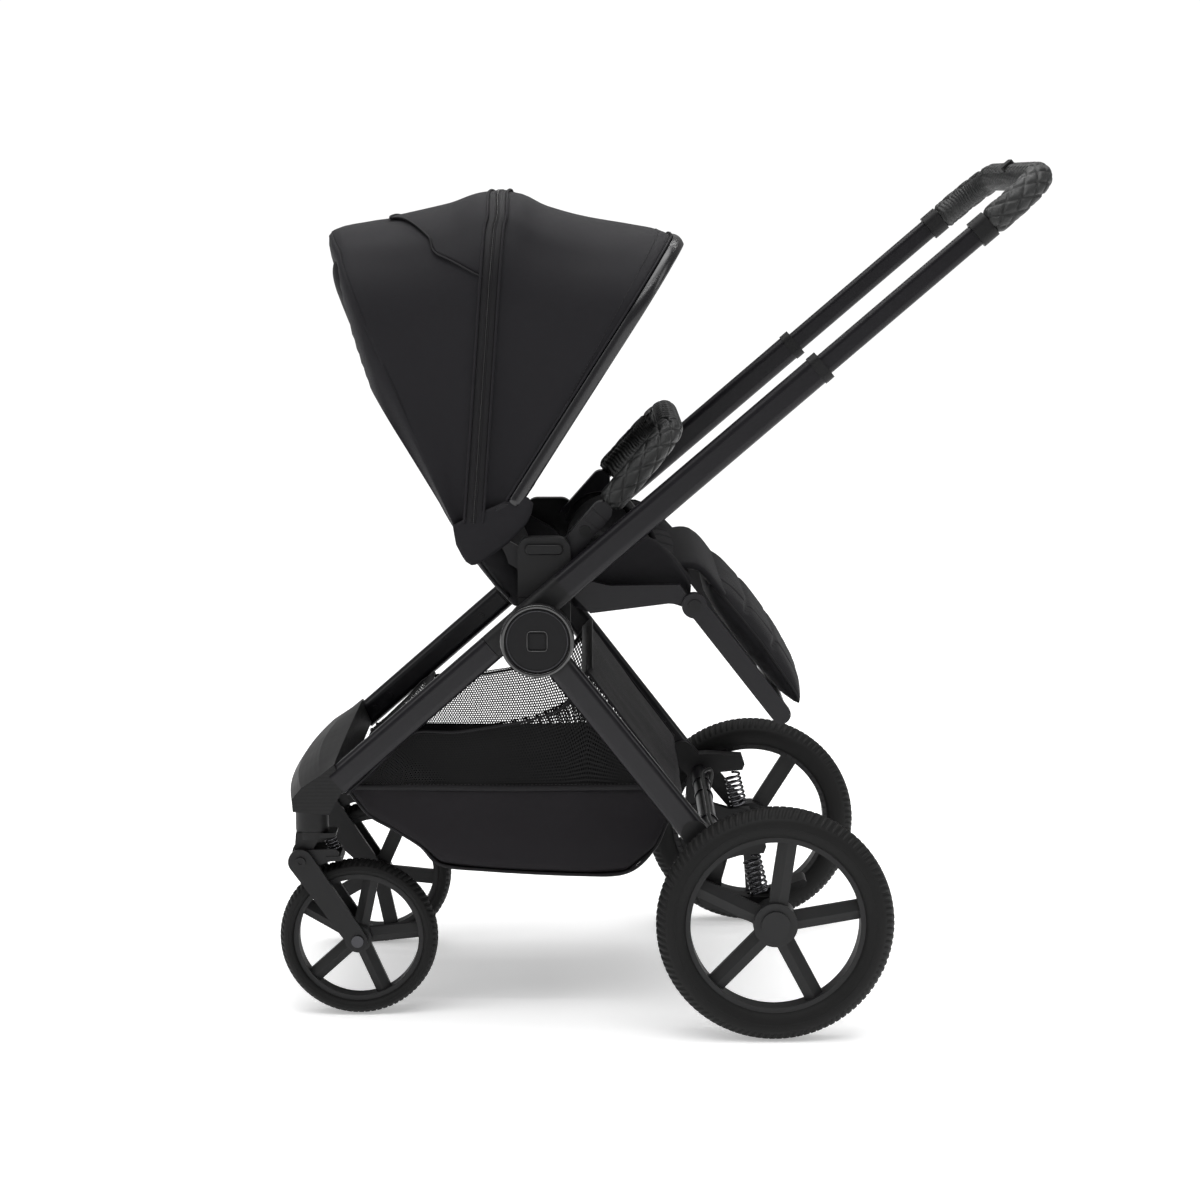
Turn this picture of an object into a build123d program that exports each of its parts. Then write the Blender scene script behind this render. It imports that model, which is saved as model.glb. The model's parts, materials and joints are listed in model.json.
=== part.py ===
from build123d import *
import math
import os

# A pushchair with a parent-facing seat, folding chassis, sprung wheels and a two-bow canopy.
# Frame of the model: the pushchair travels towards -X, the handle is at +X, the width lies
# along Y (left is -Y) and +Z is up. The ground is Z = 0. All sizes are in millimetres.
# Side points are (x, z) pairs; distances across are measured from the middle plane.

# ---- driving dimensions: layout -------------------------------------------------------------
HUB = (-146.5, 492.0)            # pivot of the folding chassis
HANDLE_ANGLE = 40.65             # handle tubes, degrees above +X
HANDLE_OFFSET = 24.6             # tube axis above the hub centre
HANDLE_REACH = 813.0             # hub foot point to crossbar centre
FRONT_LEG_ANGLE = 221.2
FRONT_LEG_OFFSET = 22.9
FRONT_LEG_LENGTH = 310.0
REAR_LEG_ANGLE = -51.8
REAR_LEG_LENGTH = 307.0
FRONT_AXLE = (-373.0, 99.0)
REAR_AXLE = (141.0, 145.0)
CASTER_X = -430.0

# ---- driving dimensions: layers across the width ----------------------------------------------
FRONT_LEG_Y = 212.0
HANDLE_Y = 236.0
REAR_LEG_Y = 262.0               # at the hub
REAR_LEG_FOOT_Y = 244.0          # at the lower end
REAR_WHEEL_Y = 280.0
FRONT_WHEEL_Y = 166.0
TUBE_WIDTH = 22.0                # width of every chassis tube along Y
LAYER_GAP = 2.0
RUN_GAP = 0.05                   # radial clearance of every running fit
SOFT_GAP = 1.0                   # clearance round soft parts

# ---- driving dimensions: tubes ------------------------------------------------------------------
TUBE_HEIGHT = 34.0
TUBE_CORNER = 9.0
TUBE_WALL = 2.0
SLEEVE_START = 62.0
SLEEVE_END = 472.8
INNER_HEIGHT = 27.0
INNER_WIDTH = 16.0
INNER_CORNER = 7.0
INNER_START = 250.0
GRIP_START = 707.0
GRIP_DIAMETER = 36.0
BAR_CORNER = 62.0                # bend radius of the handle bow
COLLAR_LENGTH = 22.0

# ---- driving dimensions: hub ----------------------------------------------------------------------
HUB_RADIUS = 40.0
HUB_CAP_RADIUS = 44.5
HUB_PIN_RADIUS = 9.0
SOCKET_REACH = 55.0
SEAM = 0.8                       # groove between a socket and its tube

# ---- driving dimensions: wheels -----------------------------------------------------------------
REAR_RADIUS = 145.0
REAR_TYRE_WIDTH = 42.0
REAR_TYRE_DEPTH = 36.0
FRONT_RADIUS = 99.0
FRONT_TYRE_WIDTH = 36.0
FRONT_TYRE_DEPTH = 18.0
RIM_THICKNESS = 6.0
SPOKES = 5
SPOKE_WIDTH = 23.0
REAR_HUB_RADIUS = 27.0
FRONT_HUB_RADIUS = 17.0
AXLE_RADIUS = 6.0

# ---- driving dimensions: seat -----------------------------------------------------------------
SEAT_RAIL_Y = (203.0, 215.0)
RECLINE_PIVOT = (-139.0, 560.0)
BACKREST_ANGLE = 115.0
BACKREST_LENGTH = 440.0
BACKREST_DEPTH = (30.0, 82.0)    # front and rear faces behind the pivot line
PAD_HALF_WIDTH = 165.0
LEGREST_PIVOT = (43.5, 525.0)
LEGREST_ANGLE = -52.0
LEGREST_LENGTH = 187.0
BUMPER_PIVOT = (-112.0, 588.0)
BUMPER_ANGLE = 48.6
BUMPER_REACH = 192.0
BUMPER_PIN = 4.5
BUMPER_Y = 185.0

# ---- driving dimensions: canopy -----------------------------------------------------------------
CANOPY_HINGE = (-186.0, 636.0)
CANOPY_REACH = 392.0
CANOPY_HALF_WIDTH = 206.0
CANOPY_CORNER = 110.0
CANOPY_SKIN = 3.0
CANOPY_GAP = 0.8
CANOPY_START = 14.0
FRONT_BOW_ANGLE = 57.5
MID_BOW_ANGLE = 91.0
REAR_BOW_ANGLE = 122.5

# ---- driving dimensions: basket --------------------------------------------------------------
BASKET_HALF_WIDTH = 198.0
BASKET_WALL = 3.0

RIGHT, LEFT = 1, -1
SIDE_NAMES = {LEFT: "left", RIGHT: "right"}


# ---- geometry helpers -------------------------------------------------------------------------
def polar(origin, angle, distance):
    """Side point at a distance from another in a direction in degrees."""
    turn = math.radians(angle)
    return (origin[0] + distance * math.cos(turn), origin[1] + distance * math.sin(turn))


def at(point, y):
    """Side point lifted to three dimensions."""
    return Vector(point[0], y, point[1])


def distance(a, b):
    return math.hypot(b[0] - a[0], b[1] - a[1])


def heading(a, b):
    return math.degrees(math.atan2(b[1] - a[1], b[0] - a[0]))


def side_plane(y):
    """Side view plane at y: local x is X, local y is Z, normal is -Y."""
    return Plane(origin=(0, y, 0), x_dir=(1, 0, 0), z_dir=(0, -1, 0))


def plate(outline, y_low, y_high):
    """Solid with a side outline between two distances across."""
    return extrude(side_plane(y_high) * outline, amount=y_high - y_low)


def disc(centre, radius, y_low, y_high):
    return plate(Pos(*centre) * Circle(radius), y_low, y_high)


def block(x_range, z_range, y_range):
    """Box given by its ranges."""
    size = [high - low for low, high in (x_range, y_range, z_range)]
    middle = [(high + low) / 2 for low, high in (x_range, y_range, z_range)]
    return Pos(*middle) * Box(*size)


def slot(a, b, width):
    """Outline of a bar with round ends between two side points."""
    middle = ((a[0] + b[0]) / 2, (a[1] + b[1]) / 2)
    bar = SlotCenterToCenter(distance(a, b), width)
    return Pos(*middle) * Rot(0, 0, heading(a, b)) * bar


def taper(a, radius_a, b, radius_b):
    """Outline that wraps two circles."""
    circles = Pos(*a) * Circle(radius_a) + Pos(*b) * Circle(radius_b)
    return make_hull(circles.edges())


def polygon(points):
    return make_face(Polyline(*points, close=True))


def beam_plane(start, end):
    """Plane across a straight run; local x lies in the side view."""
    along = (end - start).normalized()
    return Plane(origin=start, x_dir=Vector(0, 1, 0).cross(along), z_dir=along)


def beam(start, end, height, width, corner):
    """Straight bar of rounded rectangular section."""
    section = beam_plane(start, end) * RectangleRounded(height, width, corner)
    return extrude(section, amount=(end - start).length)


def tube(start, end, height, width, corner, wall):
    inner = beam(start, end, height - 2 * wall, width - 2 * wall, corner - wall)
    return beam(start, end, height, width, corner) - inner


def rod(start, end, radius):
    """Round bar between two points in space."""
    along = (end - start).normalized()
    return extrude(Plane(origin=start, z_dir=along) * Circle(radius), amount=(end - start).length)


def mirrored(shape):
    return mirror(shape, about=Plane.XZ)


def on_side(side, shape):
    """Shape modelled on the right, moved to the asked side."""
    return shape if side == RIGHT else mirrored(shape)


def pair(shape):
    """The right-hand shape and its left-hand mirror image as separate solids."""
    return Compound([solid for half in (shape, mirrored(shape)) for solid in half.solids()])


def coil(start, end, radius, wire, turns):
    """Helical compression spring between two points."""
    length = (end - start).length
    path = Helix(pitch=length / turns, height=length, radius=radius)
    section = Plane(origin=path @ 0, z_dir=path % 0) * Circle(wire)
    spring = sweep(section, path=path, is_frenet=True)
    return Plane(origin=start, z_dir=(end - start).normalized()) * spring


# ---- derived places --------------------------------------------------------------------------
HANDLE_FOOT = polar(HUB, HANDLE_ANGLE + 90, HANDLE_OFFSET)
LEG_FOOT = polar(HUB, FRONT_LEG_ANGLE - 90, FRONT_LEG_OFFSET)
LEG_LAYER = (FRONT_LEG_Y - TUBE_WIDTH / 2, FRONT_LEG_Y + TUBE_WIDTH / 2)
HANDLE_LAYER = (HANDLE_Y - TUBE_WIDTH / 2, HANDLE_Y + TUBE_WIDTH / 2)
REAR_LAYER = (REAR_LEG_Y - TUBE_WIDTH / 2, REAR_LEG_Y + TUBE_WIDTH / 2)
REAR_LEG_FOOT = polar(HUB, REAR_LEG_ANGLE, REAR_LEG_LENGTH)
ARM_PIVOT = (62.0, 170.0)
SPRING_SEAT = (113.5, 219.0)
SPRING_FOOT = (125.0, 172.0)
CROSS_TUBE = polar(HUB, -51.5, 345.0)
CROSS_TUBE_RADIUS = 11.0
BRACKET_LAYER = (REAR_LEG_FOOT_Y - 15.0, REAR_LEG_FOOT_Y + 12.0)
ARM_LAYER = (BRACKET_LAYER[0] + 5.0, BRACKET_LAYER[1] - 5.0)
FORK_PIVOT = (-442.5, 200.0)


def handle_point(reach, across=0.0):
    """Side point on the handle tube's axis, or beside it."""
    return polar(polar(HANDLE_FOOT, HANDLE_ANGLE, reach), HANDLE_ANGLE + 90, across)


def leg_point(reach):
    return polar(LEG_FOOT, FRONT_LEG_ANGLE, reach)


def rear_leg_point(reach):
    """Point in space on the right rear leg's axis."""
    share = reach / REAR_LEG_LENGTH
    y = REAR_LEG_Y + (REAR_LEG_FOOT_Y - REAR_LEG_Y) * share
    return at(polar(HUB, REAR_LEG_ANGLE, reach), y)


def back_point(along, behind):
    """Side point in the backrest's own directions from its pivot."""
    return polar(polar(RECLINE_PIVOT, BACKREST_ANGLE, along), BACKREST_ANGLE + 90, behind)


def legrest_point(along, above):
    return polar(polar(LEGREST_PIVOT, LEGREST_ANGLE, along), LEGREST_ANGLE + 90, above)


def bumper_point(reach):
    return polar(BUMPER_PIVOT, BUMPER_ANGLE, reach)


# ---- chassis: the root body --------------------------------------------------------------------
RIVET_REACHES = (95.0, 262.0, 288.0)


def front_legs():
    """Oval front tubes with three rivets on each inner face."""
    start, end = leg_point(SOCKET_REACH + SEAM), leg_point(FRONT_LEG_LENGTH)
    tube_right = tube(at(start, FRONT_LEG_Y), at(end, FRONT_LEG_Y), TUBE_HEIGHT, TUBE_WIDTH,
                      TUBE_CORNER, TUBE_WALL)
    inner = LEG_LAYER[0]
    rivets = [disc(leg_point(reach), 4.0, inner - 1.8, inner) for reach in RIVET_REACHES]
    return pair(Compound([solid for shape in (tube_right, *rivets) for solid in shape.solids()]))


SEAT_POST_X = (HUB[0] - 3.5, HUB[0] + 18.5)
SEAT_PAD_X = (HUB[0] - 24.5, HUB[0] + 39.5)
SEAT_PAD_Z = HUB[1] + 43.5
SEAT_POST_Z = HUB[1] + 98.0
SEAT_POST_Y = (LEG_LAYER[0] + 5.0, LEG_LAYER[1] - 5.0)
LEG_SPIGOT = 26.0


def leg_sockets():
    """Hub plate with the front leg's socket and the post that carries the seat."""
    low, high = LEG_LAYER
    body = disc(HUB, HUB_RADIUS, low, high)
    body += beam(at(leg_point(0), FRONT_LEG_Y), at(leg_point(SOCKET_REACH), FRONT_LEG_Y),
                 TUBE_HEIGHT, TUBE_WIDTH, TUBE_CORNER)
    body += beam(at(leg_point(SOCKET_REACH), FRONT_LEG_Y),
                 at(leg_point(SOCKET_REACH + LEG_SPIGOT), FRONT_LEG_Y),
                 TUBE_HEIGHT - 2 * TUBE_WALL, TUBE_WIDTH - 2 * TUBE_WALL, TUBE_CORNER - TUBE_WALL)
    body += block(SEAT_PAD_X, (HUB[1] + 10, SEAT_PAD_Z), LEG_LAYER)
    body += block(SEAT_POST_X, (SEAT_PAD_Z - 5, SEAT_POST_Z), SEAT_POST_Y)
    body -= disc(HUB, HUB_PIN_RADIUS, low, high)
    return pair(body)


AXLE_END_Y = REAR_LAYER[1] + 1.0


def hub_axle():
    """Through axle that joins the two hubs."""
    return rod(at(HUB, -AXLE_END_Y), at(HUB, AXLE_END_Y), HUB_PIN_RADIUS)


CAP_DEPTH = 11.0
CAP_RING = 5.0


def hub_caps():
    """Outer cover with a raised ring, a sunk face and a plain square boss."""
    low = AXLE_END_Y
    high = low + CAP_DEPTH
    cap = disc(HUB, HUB_CAP_RADIUS, low, high)
    cap = fillet(cap.edges().group_by(Axis.Y)[-1], 3.0)
    cap -= disc(HUB, HUB_CAP_RADIUS - CAP_RING, high - 2.5, high)
    cap += disc(HUB, HUB_CAP_RADIUS - CAP_RING - 1.5, high - 3.0, high - 0.8)
    boss = Pos(*HUB) * RectangleRounded(22, 22, 2)
    cap -= plate(boss, high - 2.2, high)
    cap += plate(Pos(*HUB) * RectangleRounded(18, 18, 1.5), high - 2.6, high - 1.0)
    return pair(cap)


PANEL_MIDDLE = [(-384, 300), (-397, 331), (-430, 316), (-457, 294), (-466, 280), (-464, 270),
                (-404, 266)]
PANEL_END = [(-384, 300), (-397, 329), (-413, 316), (-437, 300), (-449, 286), (-448, 270),
             (-404, 266)]
PANEL_SECTIONS = (-1.0, -0.5, 0.0, 0.5, 1.0)
HOUSING_RADIUS = 20.5
HOUSING_Z = (236.0, 285.0)
STEM_RADIUS = 8.0
STEM_TOP = 276.0


def front_panel():
    """Moulded cross member: a bowed ramp that closes the lower ends of both front legs."""
    half = LEG_LAYER[1] - 0.5
    faces = []
    for share in PANEL_SECTIONS:
        bow = 1 - share * share
        outline = [(a[0] + (b[0] - a[0]) * bow, a[1] + (b[1] - a[1]) * bow)
                   for a, b in zip(PANEL_END, PANEL_MIDDLE)]
        faces.append(side_plane(share * half) * polygon(outline))
    body = loft(faces)
    leg = beam(at(leg_point(0), FRONT_LEG_Y), at(leg_point(FRONT_LEG_LENGTH), FRONT_LEG_Y),
               TUBE_HEIGHT, TUBE_WIDTH + 1, TUBE_CORNER)
    plug = beam(at(leg_point(FRONT_LEG_LENGTH - LEG_SPIGOT), FRONT_LEG_Y),
                at(leg_point(FRONT_LEG_LENGTH + 4), FRONT_LEG_Y), TUBE_HEIGHT - 2 * TUBE_WALL,
                TUBE_WIDTH - 2 * TUBE_WALL, TUBE_CORNER - TUBE_WALL)
    housing = Pos(CASTER_X, FRONT_WHEEL_Y, 0) * Cylinder(HOUSING_RADIUS, 2 * HOUSING_Z[1])
    for side in (RIGHT, LEFT):
        body -= on_side(side, leg)
        body += on_side(side, plug)
        body -= on_side(side, housing)
    return body


def caster_housings():
    """Cylinders that hold the caster stems."""
    height = HOUSING_Z[1] - HOUSING_Z[0]
    middle = (HOUSING_Z[1] + HOUSING_Z[0]) / 2
    body = Pos(CASTER_X, FRONT_WHEEL_Y, middle) * Cylinder(HOUSING_RADIUS, height)
    bore_height = STEM_TOP + 1 - HOUSING_Z[0]
    bore_middle = HOUSING_Z[0] + bore_height / 2
    body -= Pos(CASTER_X, FRONT_WHEEL_Y, bore_middle) * Cylinder(STEM_RADIUS + RUN_GAP, bore_height)
    return pair(body)


BASKET_HEM = [(-301, 368), (-247, 369), (-182, 379), (-150, 386), (-114, 402), (-87, 441)]
BASKET_BELLY = [(31, 282), (12, 248), (-4, 214), (-38, 183), (-100, 180), (-213, 187), (-269, 194),
                (-294, 218), (-330, 241), (-358, 258), (-384, 291)]


def basket():
    """Open-topped storage basket; its rear wall rises between the rear legs."""
    outline = polygon(BASKET_HEM + BASKET_BELLY)
    inner_half = BASKET_HALF_WIDTH - BASKET_WALL
    hollow = plate(offset(outline, -BASKET_WALL), -inner_half, inner_half)
    front, rear = BASKET_HEM[0], BASKET_HEM[-1]
    low_edge = [(front[0] + 7, front[1] - 12)] + [(x, z - 9) for x, z in BASKET_HEM[1:-1]]
    low_edge.append((rear[0] - 4, rear[1] - 4))
    high_edge = [(rear[0] - 4, rear[1] + 30), (front[0] + 7, rear[1] + 30)]
    mouth = plate(polygon(low_edge + high_edge), -inner_half, inner_half)
    return plate(outline, -BASKET_HALF_WIDTH, BASKET_HALF_WIDTH) - hollow - mouth


# ---- handle --------------------------------------------------------------------------------------
def handle_sockets():
    """Turning hub plate with the handle tube's socket."""
    low, high = HANDLE_LAYER
    body = disc(HUB, HUB_RADIUS, low, high)
    body += beam(at(HANDLE_FOOT, HANDLE_Y), at(handle_point(SLEEVE_START), HANDLE_Y),
                 TUBE_HEIGHT + 1, TUBE_WIDTH, TUBE_CORNER)
    body -= disc(HUB, HUB_PIN_RADIUS + RUN_GAP, low, high)
    return pair(body)


def handle_sleeves():
    """Lower handle tubes; the bow slides inside them."""
    start, end = at(handle_point(SLEEVE_START), HANDLE_Y), at(handle_point(SLEEVE_END), HANDLE_Y)
    outer = beam(start, end, TUBE_HEIGHT + 1, TUBE_WIDTH, TUBE_CORNER)
    gap = 2 * RUN_GAP
    inner = beam(start, end, INNER_HEIGHT + gap, INNER_WIDTH + gap, INNER_CORNER + RUN_GAP)
    return pair(outer - inner)


def sleeve_collars():
    """Moulded rings round the mouths of the lower tubes."""
    start = at(handle_point(SLEEVE_END - 13), HANDLE_Y)
    end = at(handle_point(SLEEVE_END), HANDLE_Y)
    ring = beam(start, end, TUBE_HEIGHT + 4, TUBE_WIDTH + 3, TUBE_CORNER + 1)
    ring -= beam(start, end, TUBE_HEIGHT + 1, TUBE_WIDTH, TUBE_CORNER)
    return pair(ring)


def bow_path(start_reach):
    """U-shaped line of the handle bow, from one tube's reach round to the other's."""
    bar = HANDLE_REACH
    points = [at(handle_point(start_reach), HANDLE_Y), at(handle_point(bar), HANDLE_Y),
              at(handle_point(bar), -HANDLE_Y), at(handle_point(start_reach), -HANDLE_Y)]
    return FilletPolyline(*points, radius=BAR_CORNER)


def bow_sweep(start_reach, section):
    plane = beam_plane(at(handle_point(start_reach), HANDLE_Y),
                       at(handle_point(HANDLE_REACH), HANDLE_Y))
    return sweep(plane * section, path=bow_path(start_reach))


def handle_bow():
    """Telescoping inner bow: two tubes joined by the crossbar."""
    outer = bow_sweep(INNER_START, RectangleRounded(INNER_HEIGHT, INNER_WIDTH, INNER_CORNER))
    hollow = RectangleRounded(INNER_HEIGHT - 4, INNER_WIDTH - 4, INNER_CORNER - 2)
    pocket = button_box(0.1)
    return outer - bow_sweep(INNER_START, hollow) - pocket


BUTTON_SIZE = (18.0, 34.0)
BUTTON_PROUD = 3.0


def button_box(clearance):
    """Space of the telescope button in the bow and the grip."""
    start = at(handle_point(HANDLE_REACH, 6), 0)
    end = at(handle_point(HANDLE_REACH, GRIP_DIAMETER / 2 + BUTTON_PROUD), 0)
    return beam(start, end, BUTTON_SIZE[0] + 2 * clearance, BUTTON_SIZE[1] + 2 * clearance,
                4 + clearance)


def handle_grip():
    """Padded sleeve round the crossbar and its corners."""
    body = bow_sweep(GRIP_START + COLLAR_LENGTH, Circle(GRIP_DIAMETER / 2))
    body -= bow_sweep(GRIP_START + COLLAR_LENGTH,
                      RectangleRounded(INNER_HEIGHT, INNER_WIDTH, INNER_CORNER))
    return body - button_box(0.1)


def grip_collars():
    """Moulded collars below the grip."""
    start = at(handle_point(GRIP_START), HANDLE_Y)
    end = at(handle_point(GRIP_START + COLLAR_LENGTH), HANDLE_Y)
    ring = beam(start, end, GRIP_DIAMETER - 2, INNER_WIDTH + 10, INNER_CORNER + 4)
    ring -= beam(start, end, INNER_HEIGHT, INNER_WIDTH, INNER_CORNER)
    return pair(ring)


def telescope_button():
    """Button in the middle of the crossbar that frees the telescope."""
    start = at(handle_point(HANDLE_REACH, 11), 0)
    end = at(handle_point(HANDLE_REACH, GRIP_DIAMETER / 2 + BUTTON_PROUD), 0)
    return beam(start, end, BUTTON_SIZE[0], BUTTON_SIZE[1], 4)


# ---- rear frame ------------------------------------------------------------------------------------
REAR_SOCKET_REACH = 48.0


def rear_legs():
    start, end = rear_leg_point(REAR_SOCKET_REACH), rear_leg_point(REAR_LEG_LENGTH)
    return pair(tube(start, end, TUBE_HEIGHT, TUBE_WIDTH, TUBE_CORNER, TUBE_WALL))


def rear_sockets():
    """Outer hub plate with the rear leg's socket."""
    low, high = REAR_LAYER
    body = disc(HUB, HUB_RADIUS, low, high)
    body += disc(HUB, HUB_PIN_RADIUS + 8, HANDLE_LAYER[1] + 0.5, low)
    body += beam(rear_leg_point(0), rear_leg_point(REAR_SOCKET_REACH), TUBE_HEIGHT, TUBE_WIDTH,
                 TUBE_CORNER)
    body += beam(rear_leg_point(REAR_SOCKET_REACH), rear_leg_point(REAR_SOCKET_REACH + LEG_SPIGOT),
                 TUBE_HEIGHT - 2 * TUBE_WALL, TUBE_WIDTH - 2 * TUBE_WALL, TUBE_CORNER - TUBE_WALL)
    body -= disc(HUB, HUB_PIN_RADIUS + RUN_GAP, HANDLE_LAYER[1], high + 3)
    return pair(body)


CLIP_STATIONS = (-150.0, -75.0, 75.0, 150.0)


def rear_cross_tube():
    """Tube between the suspension brackets, with the rings that hold the brake cable."""
    bar = rod(at(CROSS_TUBE, -BRACKET_LAYER[0]), at(CROSS_TUBE, BRACKET_LAYER[0]),
              CROSS_TUBE_RADIUS)
    ring = Cylinder(CROSS_TUBE_RADIUS + 1.5, 8) - Cylinder(CROSS_TUBE_RADIUS, 8)
    clips = [Pos(CROSS_TUBE[0], y, CROSS_TUBE[1]) * Rot(90, 0, 0) * ring for y in CLIP_STATIONS]
    return Compound([shape.solids()[0] for shape in (bar, *clips)])


SEAT_CUP_RADIUS = 15.0


def suspension_brackets():
    """Brackets at the rear legs' feet: spring cup above, arm clevis and its bolt below."""
    low, high = BRACKET_LAYER
    foot = REAR_LEG_FOOT
    throat = (66.0, 226.0)
    body = plate(taper(foot, 16, throat, 16), low, high)
    body += plate(taper(throat, 14, ARM_PIVOT, 13), low, high)
    body += plate(polygon([(50, 246), (78, 249), (127, 246), (131, 234), (128, 226), (98, 223), (70, 214)]),
                  low, high)
    body -= plate(taper(ARM_PIVOT, 19, (110, 176), 23), ARM_LAYER[0] - 0.4, ARM_LAYER[1] + 0.4)
    body -= disc(ARM_PIVOT, 4.0, low, high)
    plug = beam(rear_leg_point(REAR_LEG_LENGTH - LEG_SPIGOT), rear_leg_point(REAR_LEG_LENGTH + 6),
                TUBE_HEIGHT - 2 * TUBE_WALL, TUBE_WIDTH - 2 * TUBE_WALL, TUBE_CORNER - TUBE_WALL)
    leg = beam(rear_leg_point(0), rear_leg_point(REAR_LEG_LENGTH), TUBE_HEIGHT, TUBE_WIDTH,
               TUBE_CORNER)
    body = body - leg + plug
    bolt = disc(ARM_PIVOT, 4.0, low, high) + disc(ARM_PIVOT, 7.5, low - 3.0, low)
    return pair(Compound([body.solids()[0], bolt.solids()[0]]))


def rear_spring(side):
    middle = (ARM_LAYER[0] + ARM_LAYER[1]) / 2
    shape = coil(at(SPRING_FOOT, middle), at(SPRING_SEAT, middle), 10.5, 1.7, 7)
    return on_side(side, shape)


CABLE_RADIUS = 2.5


def brake_cable():
    """Bowden cable that links the two brakes along the cross tube."""
    y = BRACKET_LAYER[0] - 8
    top = CROSS_TUBE[1] + CROSS_TUBE_RADIUS + CABLE_RADIUS + 1.5
    x = CROSS_TUBE[0]
    points = [(ARM_PIVOT[0] + 14, -y, ARM_PIVOT[1] + 14), (x + 17, -y + 4, CROSS_TUBE[1] - 6),
              (x + 15, -y + 22, top - 2), (x + 2, -y + 58, top + 1), (x - 1, -y + 110, top),
              (x, -62, top + 1), (x, 0, top), (x, 62, top + 1), (x - 1, y - 110, top),
              (x + 2, y - 58, top + 1), (x + 15, y - 22, top - 2), (x + 17, y - 4, CROSS_TUBE[1] - 6),
              (ARM_PIVOT[0] + 14, y, ARM_PIVOT[1] + 14)]
    corners = [Vector(*point) for point in points]
    radii = []
    for before, here, after in zip(corners, corners[1:], corners[2:]):
        shorter = min((here - before).length, (after - here).length)
        turn = math.radians((here - before).get_angle(after - here))
        radii.append(0.45 * shorter / math.tan(turn / 2))
    path = FilletPolyline(*corners, radius=radii)
    section = Plane(origin=path @ 0, z_dir=path % 0) * Circle(CABLE_RADIUS)
    return sweep(section, path=path)


# ---- rear suspension and brake --------------------------------------------------------------------
PEDAL_PIVOT = (100.0, 157.0)


def trailing_arm(side):
    """Trailing arm with its pressed-in stub axle; the left one also carries the pedal's pin."""
    low, high = ARM_LAYER
    body = plate(taper(ARM_PIVOT, 13, REAR_AXLE, 15), low, high)
    body += disc(SPRING_FOOT, 14, low, high) & block((80, 160), (100, SPRING_FOOT[1] - 2), (low, high))
    body -= disc(ARM_PIVOT, 4.0 + RUN_GAP, low, high)
    body -= disc(REAR_AXLE, AXLE_RADIUS, high - 12, high)
    solids = [body, disc(REAR_AXLE, AXLE_RADIUS, high - 12, REAR_WHEEL_Y + 8)]
    if side == LEFT:
        solids.append(disc(PEDAL_PIVOT, 4, low - 8, low) + disc(PEDAL_PIVOT, 7, low - 10, low - 8))
    return on_side(side, Compound([shape.solids()[0] for shape in solids]))


def brake_pedal():
    """Foot pedal on the inside of the left trailing arm."""
    high = ARM_LAYER[0] - 0.5
    low = high - 7
    lever = plate(taper(PEDAL_PIVOT, 11, (158, 176), 6), low, high)
    lever += plate(slot((158, 176), (178, 183), 9), low - 32, high)
    lever -= disc(PEDAL_PIVOT, 4 + RUN_GAP, low, high)
    return mirrored(lever)


# ---- wheels -----------------------------------------------------------------------------------
def place_wheel(shape, axle, y, side):
    """Wheel part modelled about local Z, outer side up, put on its axle."""
    return Pos(axle[0], side * y, axle[1]) * Rot(-90 * side, 0, 0) * shape


def tyre(radius, depth, width):
    """Round-shouldered tyre, revolved about local Z."""
    half = width / 2
    shoulder = (radius - 0.25 * depth, 0.78 * half)
    base = (radius - depth, 0.62 * half)
    low_shoulder, low_base = (shoulder[0], -shoulder[1]), (base[0], -base[1])
    section = make_face([
        ThreePointArc(low_shoulder, (radius, 0), shoulder),
        ThreePointArc(shoulder, (radius - 0.6 * depth, half), base),
        Line(base, low_base),
        ThreePointArc(low_base, (radius - 0.6 * depth, -half), low_shoulder)])
    return revolve(Plane.XZ * section, axis=Axis.Z)


def rim(radius, depth, width, hub_radius, hub_range, first_angle):
    """Spoked rim about local Z: ring, hub barrel and ridged spokes."""
    outer = radius - depth
    body = Cylinder(outer, 1.24 * width / 2) - Cylinder(outer - RIM_THICKNESS, width)
    hub_middle, hub_height = sum(hub_range) / 2, hub_range[1] - hub_range[0]
    body += Pos(0, 0, hub_middle) * Cylinder(hub_radius, hub_height)
    half = SPOKE_WIDTH * min(1.0, hub_radius / REAR_HUB_RADIUS + 0.2) / 2
    ridge = [(-half, -5), (half, -5), (half, 3), (0, 8), (-half, 3)]
    reach = outer - RIM_THICKNESS / 2
    spoke = extrude(Plane(origin=(0, 0, 0), x_dir=(0, 1, 0), z_dir=(1, 0, 0)) * polygon(ridge),
                    amount=reach)
    for index in range(SPOKES):
        body += Rot(0, 0, first_angle + index * 360 / SPOKES) * spoke
    return body


REAR_HUB_RANGE = (-20.0, 12.0)
REAR_CAP = 17.5


def rear_rim(side):
    """Rear wheel body with its hub cap as a second solid."""
    first = 10 if side == LEFT else -58
    body = rim(REAR_RADIUS, REAR_TYRE_DEPTH, REAR_TYRE_WIDTH, REAR_HUB_RADIUS, REAR_HUB_RANGE, first)
    bore_depth = 9.0 - REAR_HUB_RANGE[0]
    body -= Pos(0, 0, 9.0 - bore_depth / 2) * Cylinder(AXLE_RADIUS + RUN_GAP, bore_depth)
    cap = Pos(0, 0, REAR_HUB_RANGE[1] + 1.5) * Cylinder(REAR_CAP, 3)
    return place_wheel(Compound([body.solids()[0], cap.solids()[0]]), REAR_AXLE, REAR_WHEEL_Y, side)


def rear_tyre(side):
    shape = tyre(REAR_RADIUS, REAR_TYRE_DEPTH, REAR_TYRE_WIDTH)
    return place_wheel(shape, REAR_AXLE, REAR_WHEEL_Y, side)


FRONT_HUB_RANGE = (-20.0, 20.0)


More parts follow.
